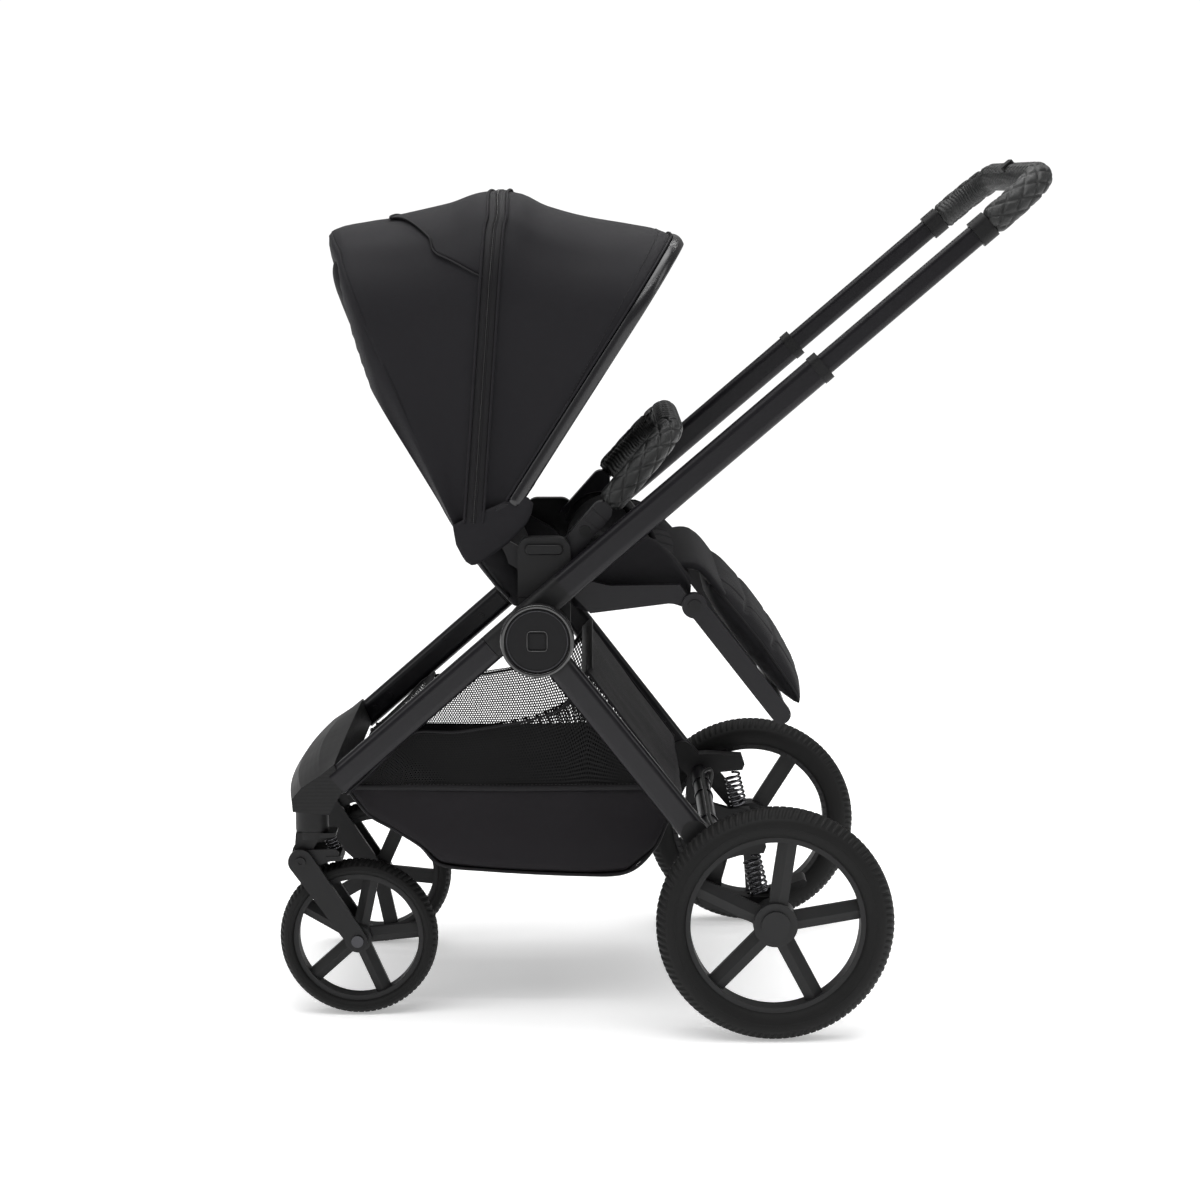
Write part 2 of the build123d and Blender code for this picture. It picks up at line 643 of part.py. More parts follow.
def front_rim(side):
    body = rim(FRONT_RADIUS, FRONT_TYRE_DEPTH, FRONT_TYRE_WIDTH, FRONT_HUB_RADIUS, FRONT_HUB_RANGE, 6)
    body -= Cylinder(AXLE_RADIUS + RUN_GAP, 60)
    return place_wheel(body, FRONT_AXLE, FRONT_WHEEL_Y, side)


def front_tyre(side):
    shape = tyre(FRONT_RADIUS, FRONT_TYRE_DEPTH, FRONT_TYRE_WIDTH)
    return place_wheel(shape, FRONT_AXLE, FRONT_WHEEL_Y, side)


# ---- front casters ------------------------------------------------------------------------------
FORK_GAP = 22.0                  # half the space between the fork's arms
FORK_ARM = 7.0
FORK_CHEEK = 3.0                 # thickness of the spring seat's cheeks inside the arms
FRONT_SPRING_TOP = (-408.3, 225.4)
FRONT_SPRING_FOOT = (-402.5, 208.0)


def fork_bolt():
    """Pivot bolt with hexagon socket heads outside both arms."""
    reach = FORK_GAP + FORK_ARM
    middle = FRONT_WHEEL_Y
    bolt = disc(FORK_PIVOT, 4.0, middle - reach - 0.3, middle + reach + 0.3)
    for direction in (1, -1):
        inner = middle + direction * (reach + 0.3)
        outer = middle + direction * (reach + 3.0)
        head = disc(FORK_PIVOT, 6.5, min(inner, outer), max(inner, outer))
        socket = plate(Pos(*FORK_PIVOT) * RegularPolygon(3, 6), min(outer, outer - direction * 1.5),
                       max(outer, outer - direction * 1.5))
        bolt += head - socket
    return bolt


def caster_yoke(side):
    """Turning head of the caster: stem, flange, the fork's block and its bolt."""
    centre = (CASTER_X, FRONT_WHEEL_Y)
    stem_height = STEM_TOP - HOUSING_Z[0] + 6
    body = Pos(*centre, STEM_TOP - stem_height / 2) * Cylinder(STEM_RADIUS, stem_height)
    body += Pos(*centre, HOUSING_Z[0] - 5.5) * Cylinder(HOUSING_RADIUS - 0.5, 10)
    low, high = FRONT_WHEEL_Y - FORK_GAP + 1, FRONT_WHEEL_Y + FORK_GAP - 1
    head = polygon([(-449, 234), (-399, 234), (-400, 229), (-419, 227), (-428, 214), (-432, 196),
                    (-452, 196)])
    body += plate(head, low + 4, high - 4)
    body += disc(FORK_PIVOT, 13, low, high)
    body -= disc(FORK_PIVOT, 4.0, low, high)
    return on_side(side, Compound([body.solids()[0], fork_bolt().solids()[0]]))


def fork(side):
    """Two arms joined by a bridge that holds the spring's foot."""
    outline = taper(FORK_PIVOT, 15.5, FRONT_AXLE, 12.5)
    body = None
    for direction in (1, -1):
        inner = FRONT_WHEEL_Y + direction * FORK_GAP
        outer = FRONT_WHEEL_Y + direction * (FORK_GAP + FORK_ARM)
        arm = plate(outline, min(inner, outer), max(inner, outer))
        cheek = sorted((inner - direction * FORK_CHEEK, inner))
        arm += plate(taper(FORK_PIVOT, 13, FRONT_SPRING_FOOT, 7), *cheek)
        arm -= plate(Pos(*FORK_PIVOT) * Circle(14.5), cheek[0], cheek[1])
        body = arm if body is None else body + arm
    bridge = polygon([(-412, 205.5), (-394, 206), (-391, 200), (-409, 199.5)])
    body += plate(bridge, FRONT_WHEEL_Y - FORK_GAP - 1, FRONT_WHEEL_Y + FORK_GAP + 1)
    body -= disc(FORK_PIVOT, 4 + RUN_GAP, 0, 300)
    body -= disc(FRONT_AXLE, AXLE_RADIUS, 0, 300)
    return on_side(side, body)


def front_axle(side):
    """Axle screw of a front wheel with a head on each side."""
    reach = FORK_GAP + FORK_ARM
    axle = disc(FRONT_AXLE, AXLE_RADIUS, FRONT_WHEEL_Y - reach, FRONT_WHEEL_Y + reach)
    for direction in (1, -1):
        inner = FRONT_WHEEL_Y + direction * reach
        outer = FRONT_WHEEL_Y + direction * (reach + 3)
        axle += disc(FRONT_AXLE, 7.5, min(inner, outer), max(inner, outer))
    return on_side(side, axle)


def front_spring(side):
    shape = coil(at(FRONT_SPRING_FOOT, FRONT_WHEEL_Y), at(FRONT_SPRING_TOP, FRONT_WHEEL_Y), 7, 1.2, 4)
    return on_side(side, shape)


# ---- seat ---------------------------------------------------------------------------------------
BRACKET_X = (HUB[0] - 24.5, HUB[0] + 39.5)
BRACKET_Z = (SEAT_PAD_Z + 0.5, HUB[1] + 117.0)
BRACKET_Y = (203.0, 221.5)
RELEASE_PROUD = 2.8
POST_GAP = 0.1
BACK_TUBE_RADIUS = 7.0
BACK_TUBE_Y = 170.0
BACK_BEND = 60.0
BACK_EAR = (BACK_TUBE_Y + 3.0, BACK_TUBE_Y + 9.0)


def release_outline(grow=0.0):
    centre = ((BRACKET_X[0] + BRACKET_X[1]) / 2, BRACKET_Z[1] - 15)
    return Pos(*centre) * SlotOverall(46 + 2 * grow, 12 + 2 * grow)


def seat_brackets():
    """Brackets that drop over the chassis posts, with the backrest's and the bumper's pins."""
    outline = Pos((BRACKET_X[0] + BRACKET_X[1]) / 2, (BRACKET_Z[0] + BRACKET_Z[1]) / 2)
    size = (BRACKET_X[1] - BRACKET_X[0], BRACKET_Z[1] - BRACKET_Z[0])
    body = plate(outline * RectangleRounded(*size, 16), *BRACKET_Y)
    body += block(BRACKET_X, (BRACKET_Z[0], BRACKET_Z[0] + 20), BRACKET_Y)
    post = block((SEAT_POST_X[0] - POST_GAP, SEAT_POST_X[1] + POST_GAP),
                 (BRACKET_Z[0] - 1, SEAT_POST_Z + 0.5),
                 (SEAT_POST_Y[0] - POST_GAP, SEAT_POST_Y[1] + POST_GAP))
    body -= post
    lift = plate(Pos(0, 4) * release_outline(0.5), BRACKET_Y[1] - 2, BRACKET_Y[1])
    body -= plate(release_outline(0.5), BRACKET_Y[1] - 2, BRACKET_Y[1]) + lift
    body -= disc(BUMPER_PIVOT, BUMPER_PIN, BRACKET_Y[0], BRACKET_Y[0] + 3)
    recline = disc(RECLINE_PIVOT, 5, BACK_EAR[0], BRACKET_Y[0])
    bumper = disc(BUMPER_PIVOT, BUMPER_PIN, BUMPER_Y - 11, BRACKET_Y[0] + 3)
    return pair(Compound([shape.solids()[0] for shape in (body, recline, bumper)]))


def seat_release(side):
    """Oval finger latch; lifted to free the seat from its post."""
    body = plate(release_outline(), BRACKET_Y[1] - 2, BRACKET_Y[1] + RELEASE_PROUD)
    body = fillet(body.edges().group_by(Axis.Y)[-1], 1.8)
    return on_side(side, body)


def seat_frame():
    """Side rails with cross tubes, pivot pins and the pan under the cushion."""
    low, high = SEAT_RAIL_Y
    rail = polygon([(BRACKET_X[1], 560), (-60, 549), (26, 550), LEGREST_PIVOT, (12, 527), (-83, 515),
                    (BRACKET_X[1], 540)])
    body = plate(rail, low, high) + disc(LEGREST_PIVOT, 15, low, high)
    body -= disc(LEGREST_PIVOT, 6 + RUN_GAP, low, high)
    side = body + mirrored(body)
    for spot in ((-80, 526), (8, 537)):
        side += rod(at(spot, -low - 1), at(spot, low + 1), 7)
    return side


SEAT_TOP = 576.0
SEAT_PAD_RANGE = (-118.0, 36.0)
WING_RANGE = (-48.0, 30.0)


def seat_pad():
    """Seat cushion with raised sides."""
    low = 545.0
    pad = plate(polygon([(SEAT_PAD_RANGE[0], low), (SEAT_PAD_RANGE[1], low),
                         (SEAT_PAD_RANGE[1], SEAT_TOP - 8), (0, SEAT_TOP), (-80, SEAT_TOP - 6),
                         (SEAT_PAD_RANGE[0], SEAT_TOP - 6)]), -PAD_HALF_WIDTH, PAD_HALF_WIDTH)
    wing = plate(polygon([(WING_RANGE[0], low + 8), (WING_RANGE[1], low + 8), (WING_RANGE[1], 576),
                          (6, 594), (-18, 604), (WING_RANGE[0], 604)]), PAD_HALF_WIDTH - 4,
                 PAD_HALF_WIDTH + 20)
    return pad + wing + mirrored(wing)


# ---- backrest ---------------------------------------------------------------------------------

def backrest_frame():
    """Bent tube round the backrest with its pivot ears and the canopy's hinge pins."""
    behind = BACKREST_DEPTH[1] - 14
    top = BACKREST_LENGTH + 8
    corners = [at(back_point(28, 20), BACK_TUBE_Y), at(back_point(80, behind), BACK_TUBE_Y),
               at(back_point(top, behind), BACK_TUBE_Y), at(back_point(top, behind), -BACK_TUBE_Y),
               at(back_point(80, behind), -BACK_TUBE_Y), at(back_point(28, 20), -BACK_TUBE_Y)]
    path = FilletPolyline(*corners, radius=[30, BACK_BEND, BACK_BEND, 30])
    section = Plane(origin=path @ 0, z_dir=path % 0) * Circle(BACK_TUBE_RADIUS)
    body = sweep(section, path=path)
    inner, outer = BACK_EAR
    ear = plate(taper(RECLINE_PIVOT, 13, back_point(60, 42), 12), inner, outer)
    hinge = plate(taper(CANOPY_HINGE, 12, back_point(120, behind), 10), inner, outer)
    ear -= disc(RECLINE_PIVOT, 5 + RUN_GAP, inner, outer)
    body = body + ear + mirrored(ear) + hinge + mirrored(hinge)
    pin = disc(CANOPY_HINGE, 5, outer, CANOPY_HALF_WIDTH)
    pin += disc(CANOPY_HINGE, CANOPY_START - 2, CANOPY_HALF_WIDTH, CANOPY_HALF_WIDTH + 1.5)
    return Compound([shape.solids()[0] for shape in (body, pin, mirrored(pin))])


def backrest_pad():
    """Padded back inside the frame."""
    front, rear = BACKREST_DEPTH
    half = BACK_TUBE_Y - BACK_TUBE_RADIUS - SOFT_GAP
    top = BACKREST_LENGTH - 2
    outline = [back_point(26, front), back_point(top - 30, front + 4), back_point(top, front + 22),
               back_point(top, rear - 6), back_point(300, rear), back_point(60, rear - 8),
               back_point(26, rear - 22)]
    pad = plate(polygon(outline), -half, half)
    front_plane = Plane(origin=at(RECLINE_PIVOT, 0), x_dir=(0, 1, 0),
                        z_dir=at(polar((0, 0), BACKREST_ANGLE + 90, 1), 0))
    face = Pos(0, -top / 2) * RectangleRounded(2 * half, top, BACK_BEND)
    return pad & extrude(front_plane * face, amount=rear + 1)


# ---- canopy ----------------------------------------------------------------------------------
def canopy_profile(inset):
    """Half outline of the canopy across its width: (reach from the hinge, distance across)."""
    half = CANOPY_HALF_WIDTH - inset
    top = CANOPY_REACH - inset
    corner = CANOPY_CORNER - inset
    return half, top, corner


def canopy_band(inset, thickness):
    """Flat U-shaped face between two insets, local x across, local y along the reach."""
    def outline(depth, start):
        half, top, corner = canopy_profile(depth)
        return make_face([
            Line((-half, start), (-half, top - corner)),
            RadiusArc((-half, top - corner), (-half + corner, top), corner),
            Line((-half + corner, top), (half - corner, top)),
            RadiusArc((half - corner, top), (half, top - corner), corner),
            Line((half, top - corner), (half, start)),
            Line((half, start), (-half, start))])
    return outline(inset, CANOPY_START) - outline(inset + thickness, CANOPY_START - 1)


def bow_plane(angle):
    """Plane that holds the hinge axis and points along an angle in the side view."""
    turn = math.radians(angle)
    reach = Vector(math.cos(turn), 0, math.sin(turn))
    across = Vector(0, 1, 0)
    return Plane(origin=at(CANOPY_HINGE, 0), x_dir=across, z_dir=across.cross(reach))


def canopy_shell(inset, first_angle, last_angle):
    """Skin between two bows, turned about the canopy hinge."""
    band = bow_plane(first_angle) * canopy_band(inset, CANOPY_SKIN)
    return revolve(band, axis=Axis(at(CANOPY_HINGE, 0), (0, -1, 0)),
                   revolution_arc=last_angle - first_angle)


FRONT_PANEL_INSET = CANOPY_SKIN + CANOPY_GAP
FRONT_BOW_INSET = FRONT_PANEL_INSET + CANOPY_SKIN + CANOPY_GAP
FRONT_BOW_THICKNESS = 6.0
MID_BOW_INSET = FRONT_BOW_INSET + FRONT_BOW_THICKNESS + CANOPY_GAP
MID_BOW_THICKNESS = 4.0
BOW_DISC = 14.0


def canopy_bow(angle, inset, thickness, half_width):
    """Flat U-shaped bow with eyes on the hinge."""
    body = extrude(bow_plane(angle) * canopy_band(inset, thickness), amount=half_width, both=True)
    outer = CANOPY_HALF_WIDTH - inset
    eye = disc(CANOPY_HINGE, BOW_DISC, outer - thickness, outer)
    eye += plate(slot(CANOPY_HINGE, polar(CANOPY_HINGE, angle, CANOPY_START + 10), 2 * half_width),
                 outer - thickness, outer)
    body += eye + mirrored(eye)
    bore = disc(CANOPY_HINGE, 5 + RUN_GAP, outer - thickness, outer)
    return body - bore - mirrored(bore)


# ---- leg rest ----------------------------------------------------------------------------------
LEGREST_ARM = (189.0, 201.0)
LEGREST_HEIGHT = 24.0


def legrest_frame():
    """Two flat arms joined by an end tube, turning on the seat rails."""
    low, high = LEGREST_ARM
    end = legrest_point(LEGREST_LENGTH - 12, 0)
    arm = plate(slot(LEGREST_PIVOT, end, LEGREST_HEIGHT), low, high)
    arm += disc(LEGREST_PIVOT, 6, high, SEAT_RAIL_Y[1] + 0.6)
    arm += disc(LEGREST_PIVOT, 15.5, SEAT_RAIL_Y[1] + 0.6, SEAT_RAIL_Y[1] + 6)
    arm -= disc(LEGREST_PIVOT, 8.1, SEAT_RAIL_Y[1] + 2, SEAT_RAIL_Y[1] + 6)
    return arm + mirrored(arm) + rod(at(end, -low - 1), at(end, low + 1), 9)


def legrest_button(side):
    """Round button in the middle of the leg rest's pivot disc."""
    return on_side(side, disc(LEGREST_PIVOT, 8, SEAT_RAIL_Y[1] + 4, SEAT_RAIL_Y[1] + 8))


def legrest_pad():
    half = LEGREST_ARM[0] - 12
    outline = [legrest_point(4, 13), legrest_point(150, 13), legrest_point(180, 16),
               legrest_point(183, 28), legrest_point(166, 40), legrest_point(90, 46),
               legrest_point(12, 42)]
    return plate(polygon(outline), -half, half)


# ---- bumper bar ----------------------------------------------------------------------------------
CONNECTOR_LENGTH = 78.0
CONNECTOR_GROOVES = (46.0, 61.0)
BUMPER_CORNER = 72.0
BUMPER_TUBE = 8.0
BUMPER_GRIP = 17.0


def bumper_line(start):
    points = [at(bumper_point(start), BUMPER_Y), at(bumper_point(BUMPER_REACH), BUMPER_Y),
              at(bumper_point(BUMPER_REACH), -BUMPER_Y), at(bumper_point(start), -BUMPER_Y)]
    return FilletPolyline(*points, radius=BUMPER_CORNER)


def bumper_sweep(start, radius):
    path = bumper_line(start)
    return sweep(Plane(origin=path @ 0, z_dir=path % 0) * Circle(radius), path=path)


def bumper_bar():
    """Bent bar with a moulded connector at each end."""
    body = bumper_sweep(CONNECTOR_LENGTH - 8, BUMPER_TUBE)
    outline = slot(BUMPER_PIVOT, bumper_point(CONNECTOR_LENGTH - 13), 25)
    low, high = BUMPER_Y - 10, BUMPER_Y + 10
    ends = plate(outline, low, high)
    ends -= disc(BUMPER_PIVOT, BUMPER_PIN + RUN_GAP, low, high)
    ends -= disc(bumper_point(34), 7.1, high - 5, high)
    for reach in CONNECTOR_GROOVES:
        corners = [polar(bumper_point(reach + along), BUMPER_ANGLE + 90, across)
                   for along, across in ((-0.7, -14), (0.7, -14), (0.7, 14), (-0.7, 14))]
        ends -= plate(polygon(corners), high - 1.0, high)
    return body + ends + mirrored(ends)


def bumper_grip():
    """Padded sleeve of the bumper bar."""
    return bumper_sweep(CONNECTOR_LENGTH, BUMPER_GRIP) - bumper_sweep(CONNECTOR_LENGTH, BUMPER_TUBE)


def bumper_button(side):
    """Round release button in the connector."""
    high = BUMPER_Y + 10
    return on_side(side, disc(bumper_point(34), 7, high - 2.5, high + 1.5))


# ---- assembly ----------------------------------------------------------------------------------
def build_nodes():
    """Every node of the pushchair by name."""
    nodes = {
        "front_legs": front_legs(), "leg_sockets": leg_sockets(), "hub_axle": hub_axle(),
        "hub_caps": hub_caps(), "front_panel": front_panel(), "caster_housings": caster_housings(),
        "basket": basket(),
        "handle_sockets": handle_sockets(), "handle_sleeves": handle_sleeves(),
        "sleeve_collars": sleeve_collars(), "handle_bow": handle_bow(),
        "handle_grip": handle_grip(), "grip_collars": grip_collars(),
        "telescope_button": telescope_button(), "rear_legs": rear_legs(),
        "rear_sockets": rear_sockets(), "rear_cross_tube": rear_cross_tube(),
        "suspension_brackets": suspension_brackets(), "brake_cable": brake_cable(),
        "brake_pedal": brake_pedal(), "seat_brackets": seat_brackets(),
        "seat_frame": seat_frame(), "seat_pad": seat_pad(), "backrest_frame": backrest_frame(),
        "backrest_pad": backrest_pad(),
        "canopy_rear_panel": canopy_shell(0, MID_BOW_ANGLE, REAR_BOW_ANGLE),
        "canopy_front_panel": canopy_shell(FRONT_PANEL_INSET, FRONT_BOW_ANGLE, MID_BOW_ANGLE),
        "canopy_front_bow": canopy_bow(FRONT_BOW_ANGLE, FRONT_BOW_INSET, FRONT_BOW_THICKNESS, 7),
        "canopy_mid_bow": canopy_bow(MID_BOW_ANGLE, MID_BOW_INSET, MID_BOW_THICKNESS, 6),
        "legrest_frame": legrest_frame(), "legrest_pad": legrest_pad(),
        "bumper_bar": bumper_bar(), "bumper_grip": bumper_grip(),
    }
    for side, name in SIDE_NAMES.items():
        nodes["trailing_arm_" + name] = trailing_arm(side)
        nodes["rear_spring_" + name] = rear_spring(side)
        nodes["rear_rim_" + name] = rear_rim(side)
        nodes["rear_tyre_" + name] = rear_tyre(side)
        nodes["caster_yoke_" + name] = caster_yoke(side)
        nodes["fork_" + name] = fork(side)
        nodes["front_axle_" + name] = front_axle(side)
        nodes["front_rim_" + name] = front_rim(side)
        nodes["front_tyre_" + name] = front_tyre(side)
        nodes["front_spring_" + name] = front_spring(side)
        nodes["seat_release_" + name] = seat_release(side)
        nodes["bumper_button_" + name] = bumper_button(side)
        nodes["legrest_button_" + name] = legrest_button(side)
    return nodes


def main():
    os.makedirs("parts", exist_ok=True)
    for name, shape in build_nodes().items():
        export_step(shape, os.path.join("parts", name + ".step"))


main()
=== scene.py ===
"""Looks of the folding pushchair: soft goods, wheels, grips, finishes, light and camera."""

import bisect
import json
import logging
import math
from dataclasses import dataclass
from enum import Enum
from typing import Callable, Iterable, Sequence

import bmesh
import bpy
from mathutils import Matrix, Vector, noise


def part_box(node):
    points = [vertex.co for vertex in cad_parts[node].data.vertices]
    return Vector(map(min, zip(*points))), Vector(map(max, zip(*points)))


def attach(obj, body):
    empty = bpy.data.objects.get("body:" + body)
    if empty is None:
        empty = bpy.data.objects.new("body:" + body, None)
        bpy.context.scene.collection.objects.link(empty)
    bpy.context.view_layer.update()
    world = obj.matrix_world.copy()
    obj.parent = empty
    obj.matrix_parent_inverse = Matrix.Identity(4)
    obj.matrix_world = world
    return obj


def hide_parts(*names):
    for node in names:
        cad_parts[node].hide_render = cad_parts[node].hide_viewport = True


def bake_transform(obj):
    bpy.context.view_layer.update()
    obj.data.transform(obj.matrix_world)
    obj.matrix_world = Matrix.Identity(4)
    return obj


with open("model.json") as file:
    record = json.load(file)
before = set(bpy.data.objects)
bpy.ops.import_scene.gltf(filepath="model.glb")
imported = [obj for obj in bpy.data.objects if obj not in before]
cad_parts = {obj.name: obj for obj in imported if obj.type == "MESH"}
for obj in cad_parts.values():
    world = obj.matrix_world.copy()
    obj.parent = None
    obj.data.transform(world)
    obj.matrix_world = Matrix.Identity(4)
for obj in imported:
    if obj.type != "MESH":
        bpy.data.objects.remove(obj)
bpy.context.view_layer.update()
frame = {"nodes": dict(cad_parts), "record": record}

log = logging.getLogger("pushchair")
Side = tuple[float, float]
LEFT, RIGHT = -1, 1
SIDE_NAMES = {LEFT: "left", RIGHT: "right"}
WELD_DISTANCE = 1e-6
HUB = (-146.5, 492.0)
HANDLE_ANGLE = 40.65
HANDLE_OFFSET = 24.6
RING_STEPS = 96
RING_SIDES = 8
COIL_STEPS = 24


# ---- places: side points are (x, z) in millimetres, results are in metres --------------------


def mm(x: float, y: float, z: float) -> Vector:
    """Point in metres from millimetres."""
    return Vector((x / 1000, y / 1000, z / 1000))


def polar(origin: Side, angle: float, reach: float) -> Side:
    """Side point at a reach from another.

    Args:
        origin: Side point to start from, in millimetres.
        angle: Direction in degrees above +X.
        reach: Distance in millimetres.

    Returns:
        The side point, in millimetres.
    """
    turn = math.radians(angle)
    return origin[0] + reach * math.cos(turn), origin[1] + reach * math.sin(turn)


def ease(low: float, high: float, value: float) -> float:
    """Smooth step of value from 0 at low to 1 at high."""
    share = min(1.0, max(0.0, (value - low) / (high - low)))
    return share * share * (3 - 2 * share)


def lookup(table: Sequence[Side], value: float) -> float:
    """Smooth value of a table of (key, value) pairs.

    Args:
        table: Pairs in rising order of their keys.
        value: The key to look up.

    Returns:
        The value between the two nearest pairs, on a smooth curve.
    """
    keys = [pair[0] for pair in table]
    index = min(max(bisect.bisect(keys, value), 1), len(table) - 1)
    before, low = table[max(index - 2, 0)], table[index - 1]
    high, after = table[index], table[min(index + 1, len(table) - 1)]
    share = min(1.0, max(0.0, (value - low[0]) / (high[0] - low[0])))
    span = high[0] - low[0]
    slope_low = (high[1] - before[1]) / max(high[0] - before[0], 1e-9) * span
    slope_high = (after[1] - low[1]) / max(after[0] - low[0], 1e-9) * span
    square, cube = share**2, share**3
    return (
        (2 * cube - 3 * square + 1) * low[1]
        + (cube - 2 * square + share) * slope_low
        + (3 * square - 2 * cube) * high[1]
        + (cube - square) * slope_high
    )


def chain(points: Sequence[Vector], step: float) -> list[Vector]:
    """Points at even steps along a polyline, ends kept.

    Args:
        points: The polyline.
        step: Wanted spacing in metres.

    Returns:
        The evenly spaced points.
    """
    lengths = [0.0]
    for a, b in zip(points, points[1:]):
        lengths.append(lengths[-1] + (b - a).length)
    count = max(2, round(lengths[-1] / step) + 1)
    result = []
    for index in range(count):
        want = lengths[-1] * index / (count - 1)
        spot = min(max(bisect.bisect(lengths, want), 1), len(points) - 1)
        span = max(lengths[spot] - lengths[spot - 1], 1e-12)
        result.append(points[spot - 1].lerp(points[spot], (want - lengths[spot - 1]) / span))
    return result


def smooth_line(points: Sequence[Vector], step: float = 0.003) -> list[Vector]:
    """Catmull-Rom curve through points, evenly stepped."""
    fine = []
    for index in range(len(points) - 1):
        before, low = points[max(index - 1, 0)], points[index]
        high, after = points[index + 1], points[min(index + 2, len(points) - 1)]
        for part in range(12):
            t = part / 12
            fine.append(
                0.5
                * (
                    2 * low
                    + (high - before) * t
                    + (2 * before - 5 * low + 4 * high - after) * t**2
                    + (3 * low - before - 3 * high + after) * t**3
                )
            )
    return chain([*fine, points[-1]], step)


def bent_line(corners: Sequence[Vector], radius: float, step: float) -> list[Vector]:
    """Polyline with its corners rounded to arcs.

    Args:
        corners: Corner points in metres, ends included.
        radius: Radius of every inner corner in metres.
        step: Spacing of the resulting points in metres.

    Returns:
        Evenly spaced points along the rounded line.
    """
    fine = [corners[0]]
    for before, corner, after in zip(corners, corners[1:], corners[2:]):
        into, out = (before - corner).normalized(), (after - corner).normalized()
        half = into.angle(out) / 2
        centre = corner + (into + out).normalized() * radius / math.sin(half)
        first = corner + into * radius / math.tan(half) - centre
        last = corner + out * radius / math.tan(half) - centre
        for part in range(25):
            fine.append(centre + first.lerp(last, part / 24).normalized() * radius)
    return chain([*fine, corners[-1]], step)


# ---- shader groups: effects that several finishes share ---------------------------------------

Socket = bpy.types.NodeSocket
Feed = Socket | float | tuple[float, ...]


class Wiring:
    """Short ways to place and join shader nodes in one tree."""

    def __init__(self, tree: bpy.types.NodeTree) -> None:
        """Keeps the tree to work in."""
        self.tree = tree

    def feed(self, socket: Socket, source: Feed) -> None:
        """Joins a socket to another one, or sets its value."""
        if isinstance(source, bpy.types.NodeSocket):
            self.tree.links.new(source, socket)
        else:
            socket.default_value = source

    def node(
        self, kind: str, inputs: dict[str | int, Feed] | None = None, **settings: object,
    ) -> bpy.types.Node:
        """Places a node.

        Args:
            kind: Blender's name of the node type.
            inputs: What feeds its input sockets, by name or number.
            **settings: Properties of the node itself.

        Returns:
            The new node.
        """
        made = self.tree.nodes.new(kind)
        for key, value in settings.items():
            setattr(made, key, value)
        for key, source in (inputs or {}).items():
            self.feed(made.inputs[key], source)
        return made

    def calc(self, operation: str, *terms: Feed) -> Socket:
        """One Math node's result."""
        return self.node("ShaderNodeMath", dict(enumerate(terms)), operation=operation).outputs[0]

    def vector(self, operation: str, *terms: Feed) -> bpy.types.Node:
        """One Vector Math node."""
        return self.node("ShaderNodeVectorMath", dict(enumerate(terms)), operation=operation)


class Effect(Enum):
    """Shared surface effects; each value is the name of its node group."""

    GRAIN = "Fine moulded grain"
    WEAVE = "Woven threads"
    HIDE = "Leatherette grain"
    NET = "Knitted net holes"
    SCUFF = "Edge and handling wear"
    DUST = "Settled dust"
    RIBS = "Moulded ribs"


def new_group(
    effect: Effect, inputs: dict[str, float | None], outputs: Iterable[str],
) -> tuple[Wiring, dict[str, Socket], bpy.types.Node]:
    """Starts a shader group with named sockets.

    Args:
        effect: Which effect it holds.
        inputs: Default value of each input; None makes a vector socket.
        outputs: Names of the value outputs.

    Returns:
        The wiring, the group's input sockets by name, and its output node.
    """
    tree = bpy.data.node_groups.new(effect.value, "ShaderNodeTree")
    for name, value in inputs.items():
        kind = "NodeSocketVector" if value is None else "NodeSocketFloat"
        socket = tree.interface.new_socket(name=name, in_out="INPUT", socket_type=kind)
        if value is not None:
            socket.default_value = value
    for name in outputs:
        tree.interface.new_socket(name=name, in_out="OUTPUT", socket_type="NodeSocketFloat")
    wires = Wiring(tree)
    start = wires.node("NodeGroupInput")
    end = wires.node("NodeGroupOutput")
    return wires, {name: start.outputs[name] for name in inputs}, end


def group_tree(effect: Effect) -> bpy.types.NodeTree:
    """The shader group of an effect, built at first use."""
    made = bpy.data.node_groups.get(effect.value)
    return made or GROUP_BUILDERS[effect]()


def grain_group() -> bpy.types.NodeTree:
    """Pebbled surface of moulded plastic and rubber."""
    w, given, end = new_group(Effect.GRAIN, {"Vector": None, "Scale": 900.0}, ("Height", "Tone"))
    fine = w.node("ShaderNodeTexNoise", {"Vector": given["Vector"], "Scale": given["Scale"], "Detail": 3.0})
    wide_scale = w.calc("MULTIPLY", given["Scale"], 0.02)
    wide = w.node("ShaderNodeTexNoise", {"Vector": given["Vector"], "Scale": wide_scale, "Detail": 4.0})
    w.feed(end.inputs["Height"], fine.outputs["Fac"])
    w.feed(end.inputs["Tone"], wide.outputs["Fac"])
    return w.tree


